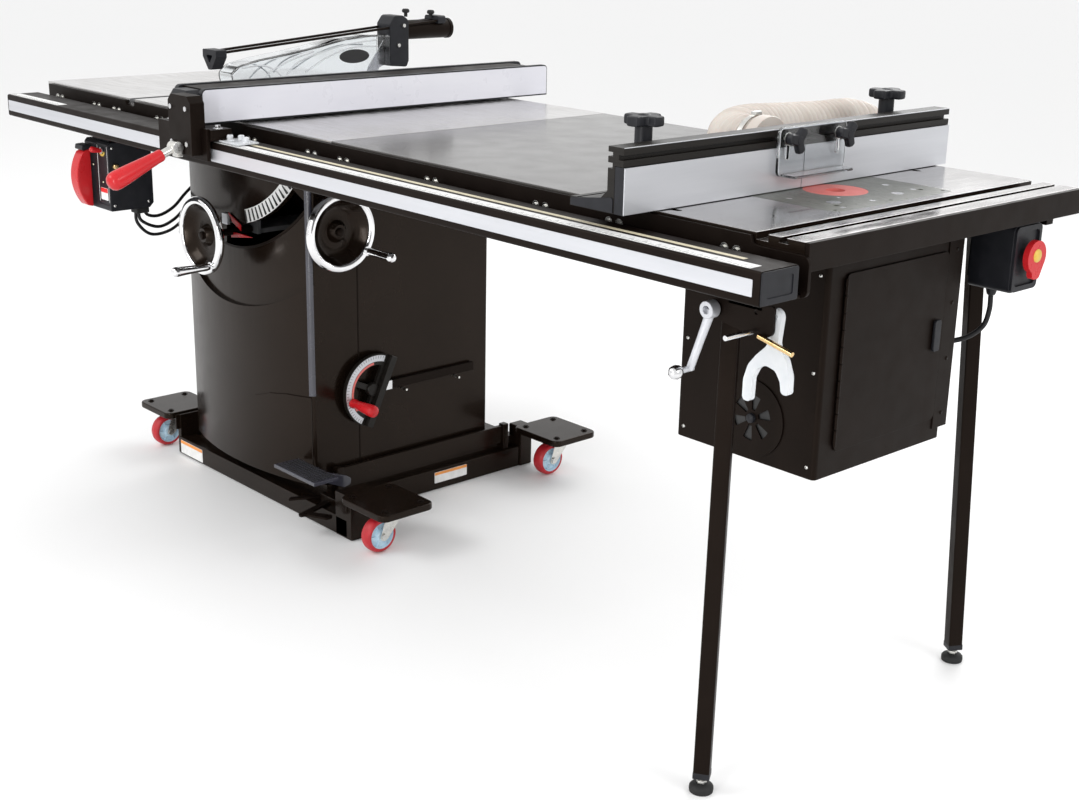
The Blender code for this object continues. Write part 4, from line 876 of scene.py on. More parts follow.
# ---------------------------------------------------------------- cutting unit
def make_cutting_unit():
    dress("rough_casting", "tilt_frame", "arbor_block")
    dress("satin_black", "motor")
    teeth = 40
    radius = BLADE_RADIUS
    rim = []
    for i in range(teeth):
        base = 360 * i / teeth
        for step, reach in ((0.0, 1.0), (0.3, 0.985), (0.62, 0.955), (0.8, 0.925), (0.93, 0.935)):
            angle = math.radians(base + 360 / teeth * step)
            rim.append((BLADE.y + radius * reach * math.cos(angle), BLADE.z
                        + radius * reach * math.sin(angle)))
    hole = circle((BLADE.y, BLADE.z), 0.0079, 24)
    vents = []
    for i in range(4):
        angle = math.radians(45 + 90 * i)
        vents.append(circle((BLADE.y + 0.082 * math.cos(angle), BLADE.z + 0.082 * math.sin(angle)), 0.004,
                            14))
    disc = plate(rim, "X", BLADE_X - 0.0012, BLADE_X + 0.0012, 0, [hole] + vents)
    tips = []
    for i in range(teeth):
        angle = math.radians(360 * i / teeth + 0.6)
        reach = radius * 0.978
        middle = (BLADE_X, BLADE.y + reach * math.cos(angle), BLADE.z + reach * math.sin(angle))
        place = Matrix.Translation(middle) @ Matrix.Rotation(angle, 4, "X")
        tips.append(moved(box((-0.0016, -0.0028, -0.0014), (0.0016, 0.0028, 0.0014), 0.0002), place))
    piece("saw_blade", [disc], "blade_steel", "blade", weighted=False)
    piece("blade_tips", tips, "bright_steel", "blade")
    arbor = [rod((BLADE_X - 0.08, BLADE.y, BLADE.z), (BLADE_X + 0.016, BLADE.y, BLADE.z), 0.0079,
                 edge=0.0006),
             lathe([(0.0075, 0.009), (0.021, 0.0088), (0.022, 0.007), (0.022, 0.0013), (0.0075, 0.0013),
                    (0.0075, 0.009)],
                   (BLADE_X, BLADE.y, BLADE.z), (1, 0, 0), 32),
             lathe([(0.0075, -0.0013), (0.022, -0.0013), (0.022, -0.01), (0.0075, -0.0105),
                    (0.0075, -0.0013)],
                   (BLADE_X, BLADE.y, BLADE.z), (1, 0, 0), 32),
             rod((BLADE_X + 0.0085, BLADE.y, BLADE.z), (BLADE_X + 0.0155, BLADE.y, BLADE.z), 0.0145, sides=6,
                 edge=0.0006)]
    piece("arbor", arbor, "bright_steel", "blade")

    low, high = span("spreader")
    outline = fillet([(0.505, 0.7), (0.535, 0.7), (0.535, 0.925), (0.592, 0.945), (0.592, 0.988),
                      (0.553, 0.988), (0.505, 0.925)], {2: 0.01, 4: 0.007, 5: 0.012, 6: 0.02}, 6)
    knife = plate(outline, "X", low.x, high.x, 0.0004, [circle((0.575, 0.968), 0.0045, 16)])
    piece("spreader", [knife], "blade_steel", "arbor_carriage")


# ---------------------------------------------------------------- blade guard
def make_guard():
    low, high = span("blade_guard")
    half = (high.x - low.x) / 2
    wall = 0.0028
    outer = [(0.142, 0.91), (0.5518, 0.91), (0.5518, 0.999), (0.5, 1.001), (0.43, 0.996), (0.36, 0.983),
             (0.29, 0.972), (0.21, 0.962), (0.158, 0.952), (0.137, 0.935)]
    outer = fillet(outer, {3: 0.2, 4: 0.3, 5: 0.3, 6: 0.3, 7: 0.3, 8: 0.03, 9: 0.012}, 4)
    inner = [(0.147, 0.9), (0.56, 0.9), (0.56, 0.9955), (0.5, 0.9975), (0.431, 0.9925), (0.361, 0.9795),
             (0.291, 0.9685), (0.211, 0.9585), (0.161, 0.9485), (0.142, 0.933)]
    shell = plate(outer, "X", BLADE_X - half, BLADE_X + half, 0.004)
    cavity = plate(inner, "X", BLADE_X - half + wall, BLADE_X + half - wall, 0.0025)
    piece("blade_guard", [carve(shell, cavity)], "clear_plastic", "guard", crease=30)
    ribs = []
    sweeps = ([(0.275, 0.927), (0.304, 0.951), (0.371, 0.971), (0.44, 0.984), (0.513, 0.99)],
              [(0.323, 0.93), (0.38, 0.958), (0.447, 0.976), (0.513, 0.976)],
              [(0.165, 0.946), (0.215, 0.949), (0.25, 0.935), (0.268, 0.915)],
              [(0.215, 0.918), (0.24, 0.938), (0.29, 0.958), (0.345, 0.972)],
              [(0.15, 0.913), (0.35, 0.913), (0.545, 0.913)])
    for side in (-1, 1):
        x = BLADE_X + side * (half + 0.0004)
        for sweep in sweeps:
            ribs.append(tube(smooth_path([(x, y, z) for y, z in sweep], 0.006), 0.0017, 8))
    piece("guard_ribs", ribs, "frosted_plastic", "guard")
    x = BLADE_X + half + 0.0008
    oval = [(0.452 + 0.04 * math.cos(math.radians(a)), 0.957 + 0.015 * math.sin(math.radians(a)))
            for a in range(0, 360, 12)]
    piece("guard_ovals", [plate(oval, "X", x - 0.0006, x + 0.0006, 0.0002)], "black_mark", "guard")

    rods = []
    for side in (-1, 1):
        x = BLADE_X + side * 0.02
        rods.append(tube([(x, 0.112, 0.978), (x, 0.3, 0.993), (x, 0.705, 1.026)], 0.0028, 14))
    piece("guard_rods", rods, "satin_black", "guard")
    nose = plate(fillet([(BLADE_X - 0.026, 0.985), (BLADE_X - 0.026, 0.97), (BLADE_X - 0.006, 0.944),
                         (BLADE_X + 0.006, 0.944), (BLADE_X + 0.026, 0.97), (BLADE_X + 0.026, 0.985)],
                        {0: 0.003, 2: 0.004, 3: 0.004, 5: 0.003}, 4),
                 "Y", 0.104, 0.13, 0.0015, [fillet([(BLADE_X - 0.013, 0.974), (BLADE_X, 0.957),
                                                    (BLADE_X + 0.013, 0.974)],
                                                    {0: 0.002, 1: 0.003, 2: 0.002}, 4)])
    column = plate(fillet([(0.5525, 0.93), (0.6, 0.926), (0.606, 0.94), (0.606, 1.03), (0.59, 1.04),
                           (0.566, 1.04), (0.5525, 1.022)], {1: 0.006, 3: 0.012, 4: 0.01, 5: 0.01, 6: 0.008},
                          5),
                   "X", BLADE_X - 0.025, BLADE_X + 0.025, 0.0025)
    gap = box((BLADE_X - 0.004, 0.54, 0.9), (BLADE_X + 0.004, 0.62, 0.997), 0)
    tail = plate(rounded((BLADE_X - 0.026, 1.018), (BLADE_X + 0.026, 1.036), 0.006), "Y", 0.69, 0.712, 0.0015)
    pipe_hole = plate(circle((BLADE_X, 1.006), 0.0215, 40), "Y", 0.6, 0.738, 0.0006,
                      [circle((BLADE_X, 1.006), 0.0188, 40)])
    rim = plate(circle((BLADE_X, 1.006), 0.0228, 40), "Y", 0.73, 0.738, 0.0008,
                [circle((BLADE_X, 1.006), 0.0187, 40)])
    piece("guard_frame", [nose, carve(column, gap), tail], "black_plastic", "guard")
    piece("guard_port", [pipe_hole, rim], "satin_black", "guard", crease=30)
    knobs = []
    for y, z in ((0.616, 1.041), (0.688, 1.036)):
        knobs.append(lathe([(0, 0.012), (0.006, 0.0115), (0.0085, 0.009), (0.0085, 0.004), (0.004, 0.002),
                            (0.004, -0.006), (0, -0.006)],
                           (BLADE_X, y, z), (0, 0, 1), 20))
    piece("guard_clamp_knobs", knobs, "black_rubber", "guard")
    pins = [rod((BLADE_X - 0.03, y, z), (BLADE_X + 0.03, y, z), 0.0042, edge=0.0008)
            for y, z in ((0.575, 0.975), (0.59, 1.018))]
    piece("guard_pivot_pin", pins, "zinc", "guard")


# ---------------------------------------------------------------- handwheels
def make_handwheel(name, hub, outward, shaft_length, grip_angle):
    rim = 0.084
    inner = rim - 0.017
    ring = lathe([(inner, 0.004), (inner + 0.0025, 0.0068), (inner + 0.0065, 0.008), (rim - 0.0045, 0.0074),
                  (rim - 0.0012, 0.0045), (rim, -0.0005), (rim - 0.0008, -0.0055), (rim - 0.0045, -0.009),
                  (inner + 0.006, -0.0105), (inner + 0.002, -0.0095), (inner, -0.006), (inner, 0.004)], hub,
                 outward, 96)
    piece(name, [ring], "chrome", name, crease=60)
    dish = lathe([(0, -0.004), (0.015, -0.004), (0.02, -0.01), (0.024, -0.0165), (0.034, -0.0185),
                  (0.046, -0.0175), (0.057, -0.0115), (inner - 0.001, 0.0015), (inner + 0.002, 0.003),
                  (inner + 0.002, -0.008), (0.056, -0.018), (0.046, -0.0235), (0.022, -0.026),
                  (0.017, -0.034), (0, -0.034)], hub, outward, 72)
    piece(name + "_dish", [dish], "gloss_black", name, crease=40)
    cap = lathe([(0, 0.0025), (0.0065, 0.002), (0.0085, 0.0005), (0.0092, -0.004), (0, -0.004)], hub,
                outward, 32)
    bar = rod(Vector(hub) - Vector(outward) * 0.033, Vector(hub) - Vector(outward) * (shaft_length - 0.0005),
              0.0078, edge=0.0005)
    piece(name + "_hub", [cap, bar], "satin_black", name)
    turn = Vector(outward).to_track_quat("Z", "Y")
    angle = math.radians(grip_angle)
    seat = Vector(hub) + turn @ (Vector((math.cos(angle), math.sin(angle), 0)) * (rim - 0.009))
    grip = lathe([(0, 0.0995), (0.0065, 0.0985), (0.0095, 0.0955), (0.0108, 0.0905), (0.0106, 0.085),
                  (0.0094, 0.07), (0.0084, 0.05), (0.0078, 0.03), (0.008, 0.018), (0.0072, 0.016),
                  (0.0068, 0.01), (0.01, 0.0095), (0.0104, 0.006), (0.0104, 0.002), (0, 0.002)], seat,
                 outward, 36)
    piece(name + "_grip", [grip], "chrome", name, crease=40)


# ---------------------------------------------------------------- rip fence
FENCE_PIVOT = Vector((0.84, -0.153, 0.843))


def make_rip_fence():
    low, high = span("rip_fence_face")
    bottom, top = low.z, high.z
    outline = ([(-0.091, bottom), (0.784, bottom)] + arc((0.774, top - 0.01), 0.01, 0, 90, 6)
               + arc((-0.079, top - 0.012), 0.012, 90, 180, 6))
    border = ([(-0.0885, bottom + 0.003), (0.7815, bottom + 0.003)]
              + arc((0.774, top - 0.01), 0.0075, 0, 90, 6)
              + arc((-0.079, top - 0.012), 0.0095, 90, 180, 6))
    core_right = plate(outline, "X", low.x, high.x - 0.001, 0.0006)
    core_left = plate(outline, "X", 0.735, 0.7475, 0.0006)
    piece("fence_board_edges", [core_right, core_left], "black_plastic", "rip_fence")
    piece("rip_fence_face", [plate(border, "X", high.x - 0.0014, high.x, 0.0003)], "white_board", "rip_fence")
    piece("rip_fence_face_left", [plate(border, "X", 0.734, 0.7354, 0.0003)], "white_board", "rip_fence")
    beam_low = 0.747
    beam_high = 0.8238
    section = rounded((beam_low, bottom), (beam_high, top - 0.002), 0.004)
    hollow = rounded((beam_low + 0.004, bottom + 0.004), (beam_high - 0.004, top - 0.006), 0.002)
    beam = plate(section, "Y", -0.078, 0.745, 0, [hollow])
    end = plate(rounded((beam_low + 0.0006, bottom + 0.0006), (beam_high - 0.0006, top - 0.0026), 0.004),
                "Y", 0.742, 0.7475, 0.001)
    cross = box((0.712, -0.114, 0.858), (0.905, -0.07, bottom - 0.0005), 0.0012)
    riser = box((0.752, -0.11, 0.87), (0.818, -0.072, bottom + 0.02), 0.0012)
    front = plate(fillet([(0.797, 0.829), (0.879, 0.829), (0.879, 0.926), (0.868, 0.938), (0.808, 0.938),
                          (0.797, 0.926)],
                         {0: 0.003, 1: 0.003}), "Y", -0.1405, -0.1105, 0.0012)
    lip = box((0.72, -0.12, 0.82), (0.898, -0.112, 0.88), 0.0012)
    piece("rip_fence", [beam, cross, riser, front, lip], "satin_black", "rip_fence", crease=30)
    piece("fence_beam_end", [end], "black_rubber", "rip_fence")
    cap = plate(fillet([(0.75, 0.888), (0.822, 0.888), (0.822, 0.93), (0.81, 0.941), (0.762, 0.941),
                        (0.75, 0.93)],
                       {2: 0.004, 3: 0.004, 4: 0.004, 5: 0.004}), "Y", -0.108, -0.0785, 0.0015)
    piece("fence_front_cap", [cap], "black_plastic", "rip_fence")
    bolts = []
    for x, z in ((0.811, 0.915), (0.865, 0.915), (0.811, 0.85), (0.865, 0.85)):
        bolts.extend(hex_bolt((x, -0.1405, z), (0, -1, 0), 0.009, 0.004, False))
    for x in (0.725, 0.892):
        bolts.extend(hex_bolt((x, -0.092, bottom - 0.0008), (0, 0, 1), 0.01, 0.006))
    piece("fence_bolts", bolts, "bright_steel", "rip_fence")

    lens = box((0.904, -0.098, 0.856), (0.968, -0.052, 0.8595), 0.0008)
    piece("cursor_lens", [lens], "frosted_plastic", "rip_fence")
    arm = box((0.884, -0.096, 0.859), (0.912, -0.074, 0.8625), 0.0008)
    line = box((0.9355, -0.097, 0.8593), (0.9361, -0.053, 0.8598), 0)
    piece("cursor_arm", [arm, line], "satin_black", "rip_fence")
    nuts = [lathe([(0, 0.01), (0.0045, 0.0096), (0.006, 0.008), (0.006, 0.0015), (0.0072, 0.0), (0, 0.0)],
                  (x, y, 0.8594), (0, 0, 1), 20)
            for x, y in ((0.914, -0.08), (0.93, -0.066), (0.956, -0.072))]
    piece("cursor_knobs", nuts, "frosted_plastic", "rip_fence")

    slope = math.radians(22)
    along = Vector((0, -math.cos(slope), -math.sin(slope)))
    boss = rod(FENCE_PIVOT - Vector((0.012, 0, 0)), FENCE_PIVOT + Vector((0.012, 0, 0)), 0.0115, edge=0.0012)
    stem = rod(FENCE_PIVOT, FENCE_PIVOT + along * 0.04, 0.008, edge=0.0005)
    lever_cam = box(FENCE_PIVOT + Vector((-0.01, -0.002, -0.018)), FENCE_PIVOT
                    + Vector((0.01, 0.011, 0.004)), 0.002)
    piece("fence_handle_stem", [boss, stem, lever_cam], "zinc", "fence_handle")
    grip = lathe([(0, 0.15), (0.008, 0.149), (0.0135, 0.1455), (0.0168, 0.14), (0.0178, 0.132),
                  (0.0172, 0.118), (0.015, 0.09), (0.0128, 0.062), (0.0116, 0.043), (0.0116, 0.034),
                  (0.0105, 0.031), (0, 0.031)],
                 FENCE_PIVOT, along, 48)
    piece("fence_handle", [grip], "red_plastic", "fence_handle", crease=50)


# ---------------------------------------------------------------- main switch
TOGGLE_PIVOT = Vector((0.362, -0.064, 0.768))


def make_main_switch():
    profile = fillet([(-0.062, 0.64), (0.03, 0.64), (0.04, 0.65), (0.04, 0.787), (-0.056, 0.787),
                      (-0.062, 0.78)],
                     {0: 0.004, 1: 0.003, 2: 0.003, 3: 0.004, 4: 0.003, 5: 0.003}, 4)
    shell = plate(profile, "X", 0.285, 0.39, 0.0018)
    panel = box((0.338, -0.08, 0.652), (0.386, -0.0605, 0.782), 0)
    hanger = box((0.3, -0.05, 0.78), (0.375, 0.02, 0.8022), 0.0015)
    piece("switch_housing", [carve(shell, panel, edge=0.0004), hanger], "black_plastic")
    lines = [box((x, -0.0612, 0.658), (x + 0.001, -0.06, 0.778), 0.0002) for x in (0.3405, 0.383)]
    piece("switch_panel_lines", lines, "white_mark")
    lens = [(0, 0.0012), (0.0014, 0.0009), (0.002, 0), (0, 0)]
    lamps = [lathe(lens, place, (0, -1, 0), 14) for place in ((0.33, -0.066, 0.735), (0.36, -0.0608, 0.7))]
    piece("switch_lamps", lamps, "amber_lamp")
    label = plate(rounded((0.347, 0.662), (0.378, 0.688), 0.002), "Y", -0.0611, -0.0603, 0.0002)
    piece("switch_label", [label], "white_mark")
    mark = plate(rounded((0.3475, 0.678), (0.3775, 0.6875), 0.0015), "Y", -0.0614, -0.0605, 0.0002)
    piece("switch_label_band", [mark], "red_mark")
    outer = arc((0.362, 0.768), 0.0125, 200, 340, 14)
    inner = arc((0.362, 0.77), 0.01, 340, 200, 14)
    piece("switch_crescent", [plate(outer + inner, "Y", -0.0618, -0.0604, 0.0002)], "yellow_plastic")
    key = [lathe([(0, 0.0085), (0.0045, 0.008), (0.0062, 0.0062), (0.0066, 0.003), (0.0066, 0.0), (0, 0)],
                 (0.39, -0.047, 0.736), (1, 0, 0), 24)]
    piece("switch_key", key, "brass")
    spots = [(-0.052, 0.775), (0.03, 0.775), (-0.052, 0.652), (0.028, 0.654)]
    screws("switch_screws", [(0.39, y, z) for y, z in spots], (1, 0, 0), 0.0032)

    bow = [(-0.066, 0.77), (-0.066, 0.642)] + arc((-0.002, 0.706), 0.098, 218, 147, 14)
    face = plate(bow, "X", 0.287, 0.32, 0.0028)
    piece("power_paddle", [face], "red_plastic", "power_paddle", crease=35)
    cap = plate(fillet([(-0.0655, 0.766), (-0.086, 0.764), (-0.084, 0.7755), (-0.0655, 0.7765)],
                       {1: 0.003, 2: 0.003}), "X",
                0.2865, 0.3205, 0.0012)
    piece("paddle_cap", [cap], "black_plastic", "power_paddle")

    lever = lathe([(0, 0.025), (0.004, 0.0242), (0.0062, 0.0215), (0.0066, 0.0185), (0.0058, 0.01),
                   (0.0046, 0.0), (0, 0.0)],
                  TOGGLE_PIVOT, (0, -0.024, 0.005), 24)
    piece("start_switch", [lever], "red_plastic", "start_switch")
    nut = rod(TOGGLE_PIVOT + Vector((0, 0.0025, 0)), TOGGLE_PIVOT + Vector((0, -0.0005, 0)), 0.0078, sides=6,
              edge=0.0005)
    piece("start_switch_nut", [nut], "bright_steel")


LEAD_ROUTES = (
    [(0.366, 0.008, 0.6385), (0.366, 0.01, 0.605), (0.35, 0.05, 0.572), (0.31, 0.12, 0.566),
     (0.278, 0.18, 0.586),
     (0.268, 0.222, 0.622), (0.292, 0.246, 0.64)],
    [(0.378, 0.008, 0.6385), (0.38, 0.012, 0.612), (0.366, 0.06, 0.59), (0.322, 0.124, 0.592),
     (0.284, 0.18, 0.612),
     (0.272, 0.222, 0.642), (0.292, 0.246, 0.656)],
    [(0.372, 0.022, 0.6385), (0.37, 0.034, 0.62), (0.352, 0.072, 0.612), (0.312, 0.13, 0.618),
     (0.276, 0.184, 0.64),
     (0.27, 0.222, 0.662), (0.292, 0.246, 0.672)],
)


def lay_cord(name, points, radii, sides, finish, stands_for):
    """A flexible line swept along its points."""
    made = piece(name, [tube(points, radii, sides)], finish, crease=80, weighted=False, stands_for=stands_for)


def make_cords():
    """The hose and the leads: each is a tube of its real length along its real route."""
    route = [(1.8428, 0.319, 0.932), (1.8165, 0.319, 0.932), (1.808, 0.3195, 0.932), (1.782, 0.331, 0.933),
             (1.757, 0.366, 0.935), (1.747, 0.415, 0.935), (1.745, 0.5, 0.931), (1.747, 0.6, 0.928),
             (1.75, 0.672, 0.927), (1.753, 0.73, 0.907), (1.758, 0.767, 0.862), (1.768, 0.775, 0.81),
             (1.79, 0.77, 0.745), (1.845, 0.742, 0.69), (1.905, 0.69, 0.655), (1.942, 0.62, 0.642),
             (1.95, 0.56, 0.64), (1.95, 0.53, 0.64), (1.95, 0.5058, 0.64)]
    points = smooth_path(smooth_path(route, 0.008), 0.002)
    pitch = 0.0125
    core = 0.0395
    rib = 0.0053
    radii = []
    travelled = 0.0
    for i, point in enumerate(points):
        if i:
            travelled += (point - points[i - 1]).length
        wave = 0.5 - 0.5 * math.cos(math.tau * travelled / pitch)
        radii.append(core + rib * wave)
    lay_cord("dust_hose", points, radii, 40, "hose_skin", ["dust_hose"])

    route = [(2.12, 0.59, 0.7002), (2.12, 0.59, 0.675), (2.114, 0.586, 0.648), (2.096, 0.57, 0.628),
             (2.07, 0.548, 0.618),
             (2.048, 0.522, 0.614), (2.036, 0.498, 0.613), (2.034, 0.482, 0.613), (2.034, 0.4676, 0.613)]
    lay_cord("router_cord", smooth_path(route, 0.004), 0.0042, 14, "cable", ["router_cord"])
    bush = lathe([(0.0046, 0.012), (0.0075, 0.01), (0.0085, 0.0), (0.0046, 0.0), (0.0046, 0.012)],
                 (2.034, 0.467, 0.613), (0, 1, 0), 20)
    piece("cord_bush", [bush], "black_rubber")

    for i, route in enumerate(LEAD_ROUTES):
        lay_cord(f"switch_lead_{i}", smooth_path(route, 0.004), 0.0036, 12, "cable",
                 ["switch_leads"] if i == 0 else [])
    clamp = box((0.358, 0.0, 0.628), (0.386, 0.03, 0.6397), 0.002)
    entry = box((0.283, 0.232, 0.628), (0.2997, 0.262, 0.684), 0.002)
    piece("lead_clamps", [clamp, entry], "black_rubber")


# ---------------------------------------------------------------- mobile base
def make_base():
    beams = [box(*beam) for beam in (
        ((0.229, 0.156, 0.001), (0.929, 0.2, 0.044), 0.003),
        ((0.272, 0.19, 0.0), (0.312, 0.773, 0.05), 0.003),
        ((0.778, 0.19, 0.0), (0.818, 0.773, 0.05), 0.003),
        ((0.3, 0.733, 0.0), (0.8, 0.773, 0.05), 0.003),
        ((0.885, 0.156, 0.0), (0.943, 0.23, 0.099), 0.003),
        ((0.2265, 0.158, 0.02), (0.241, 0.23, 0.099), 0.0015),
        ((0.78, 0.735, 0.0), (0.822, 0.7725, 0.099), 0.003),
        ((0.262, 0.735, 0.0), (0.31, 0.7725, 0.099), 0.003),
        ((0.797, 0.215, 0.066), (0.807, 0.705, 0.108), 0.0015),
        ((0.795, 0.69, 0.04), (0.812, 0.706, 0.112), 0.0015),
        ((0.7955, 0.215, 0.04), (0.812, 0.232, 0.112), 0.0015),
        ((0.795, 0.18, 0.03), (0.9, 0.225, 0.06), 0.002),
    )]
    hollow = box((0.325, 0.215, 0.03), (0.765, 0.715, 0.0715), 0)
    tray = carve(box((0.29, 0.195, 0.04), (0.8, 0.74, 0.0745), 0), hollow, edge=0.001)
    piece("base_frame", beams + [tray], "gloss_black")
    plates = []
    bolts = []
    for side, low, high in ((1, (0.93, 0.134), (1.083, 0.27)), (-1, (0.092, 0.129), (0.232, 0.265)),
                            (1, (0.815, 0.717), (0.967, 0.8485)), (-1, (0.122, 0.717), (0.275, 0.8485))):
        pocket = plate(rounded((low[0] + 0.005, low[1] + 0.005), (high[0] - 0.005, high[1] - 0.005), 0.014,
                               8), "Z", 0.08, 0.096, 0)
        plates.append(carve(plate(rounded(low, high, 0.018, 8), "Z", 0.0885, 0.1035, 0.003), pocket,
                            edge=0.0008))
        flange_low = high[0] if side < 0 else low[0] - 0.004
        plates.append(box((flange_low, low[1] + 0.02, 0.062), (flange_low + 0.004, high[1] - 0.02, 0.099),
                          0.001))
        for x in (low[0] + 0.022, high[0] - 0.022):
            for y in (low[1] + 0.022, high[1] - 0.022):
                bolts.extend(hex_bolt((x, y, 0.1033), (0, 0, 1), 0.008, 0.0028))
    piece("caster_plates", plates, "gloss_black")
    piece("caster_plate_bolts", bolts, "satin_black")
    stickers = [
        ("front", plate(rounded((0.242, 0.005), (0.341, 0.037), 0.002), "Y", 0.1553, 0.1563, 0.0002)),
        ("right", plate(rounded((0.478, 0.016), (0.573, 0.042), 0.002), "X", 0.8177, 0.8187, 0.0002)),
    ]
    for name, shape in stickers:
        piece(f"base_label_{name}", [shape], "white_mark")
    bands = [plate(rounded((0.2425, 0.029), (0.3405, 0.0365), 0.001), "Y", 0.155, 0.1558, 0.0002),
             plate(rounded((0.4785, 0.035), (0.5725, 0.0415), 0.001), "X", 0.8182, 0.819, 0.0002)]
    piece("base_label_bands", bands, "orange_mark")
    lever = plate(fillet([(0.752, 0.132), (0.76, 0.122), (0.804, 0.215), (0.846, 0.088), (0.856, 0.09),
                          (0.858, 0.102), (0.902, 0.122), (0.902, 0.136), (0.894, 0.142), (0.852, 0.118),
                          (0.812, 0.232), (0.8, 0.236)],
                         {0: 0.003, 3: 0.005, 7: 0.005, 11: 0.006}), "Z", 0.0445, 0.049, 0.0006,
                  [circle((0.852, 0.104), 0.0035, 14), circle((0.806, 0.224), 0.0032, 14),
                   circle((0.892, 0.13), 0.003, 14)])
    piece("release_lever", [lever], "satin_black")

    pad = plate(fillet([(0.087, 0.13), (0.149, 0.1305), (0.149, 0.137), (0.087, 0.138)],
                       {0: 0.002, 3: 0.002}), "X",
                0.761, 0.911, 0.0008)
    arm = plate(fillet([(0.139, 0.132), (0.099, 0.132), (0.205, 0.082), (0.222, 0.086), (0.224, 0.1),
                        (0.212, 0.108)],
                       {2: 0.004, 3: 0.005, 4: 0.006, 5: 0.005}), "X", 0.838, 0.85, 0.0012)
    # The pedal is black; its lighter blue-grey finish is a painted highlight.
    piece("foot_pedal", [pad, arm], "painted_highlight_black", "foot_pedal")
    rows = (0.093, 0.101, 0.109, 0.117, 0.125, 0.133, 0.141)
    grips = [box((0.769, y, 0.137), (0.903, y + 0.0025, 0.1388), 0.0004) for y in rows]
    piece("pedal_ribs", grips, "black_rubber", "foot_pedal")


def make_casters():
    for place, (x, y) in CASTERS.items():
        body = f"caster_{place}"
        low, high = span(f"caster_wheel_{place}")
        axle = (low + high) / 2
        radius = (high.z - low.z) / 2
        top = span(f"caster_fork_{place}")[1].z
        crown = lathe([(0, 0.0), (0.024, 0.0), (0.0262, -0.002), (0.0262, -0.005), (0.023, -0.0075),
                       (0.023, -0.009), (0.021, -0.0105), (0, -0.0105)], (x, y, top), (0, 0, 1), 40)
        side = fillet([(y + 0.022, top - 0.006), (y + 0.022, top - 0.016), (axle.y + 0.01, axle.z - 0.006),
                       (axle.y, axle.z - 0.011), (axle.y - 0.01, axle.z - 0.004), (y - 0.024, top - 0.014),
                       (y - 0.022, top - 0.006)],
                      {1: 0.006, 2: 0.006, 3: 0.006, 4: 0.006, 5: 0.005}, 4)
        cheeks = [plate(side, "X", x + start, x + start + 0.0025, 0.0006) for start in (-0.0205, 0.018)]
        bridge = box((x - 0.0205, y - 0.021, top - 0.0095), (x + 0.0205, y + 0.021, top - 0.0065), 0.001)
        pin = rod((x - 0.0215, axle.y, axle.z), (x + 0.0215, axle.y, axle.z), 0.0045, edge=0.0006)
        nuts = [rod((x + s * 0.0205, axle.y, axle.z), (x + s * 0.0245, axle.y, axle.z), 0.0078, sides=6,
                    edge=0.0006) for s in (-1, 1)]
        piece(f"caster_fork_{place}", [crown, *cheeks, bridge, pin, *nuts], "zinc", body)
        tread = lathe([(0.0285, 0.014), (0.0325, 0.0142), (radius - 0.0022, 0.0118),
                       (radius - 0.0004, 0.0072), (radius, 0.0), (radius - 0.0004, -0.0072),
                       (radius - 0.0022, -0.0118), (0.0325, -0.0142), (0.0285, -0.014), (0.0285, 0.014)],
                      axle, (1, 0, 0), 64)
        piece(f"caster_wheel_{place}", [tread], "red_tread", f"wheel_{place}", crease=50)
        hub = lathe([(0.0052, 0.016), (0.012, 0.016), (0.0135, 0.014), (0.015, 0.0085), (0.025, 0.008),
                     (0.027, 0.0125), (0.0288, 0.0135), (0.0288, -0.0135), (0.027, -0.0125), (0.025, -0.008),
                     (0.015, -0.0085), (0.0135, -0.014), (0.012, -0.016), (0.0052, -0.016), (0.0052, 0.016)],
                    axle, (1, 0, 0), 48)
        ribs = []
        for i in range(6):
            turn = Matrix.Translation(axle) @ Matrix.Rotation(math.tau * i / 6, 4, "X")
            ribs.append(moved(box((-0.0118, 0.013, -0.001), (0.0118, 0.0275, 0.001), 0.0004), turn))
        piece(f"caster_hub_{place}", [hub, *ribs], "blue_hub", f"wheel_{place}")


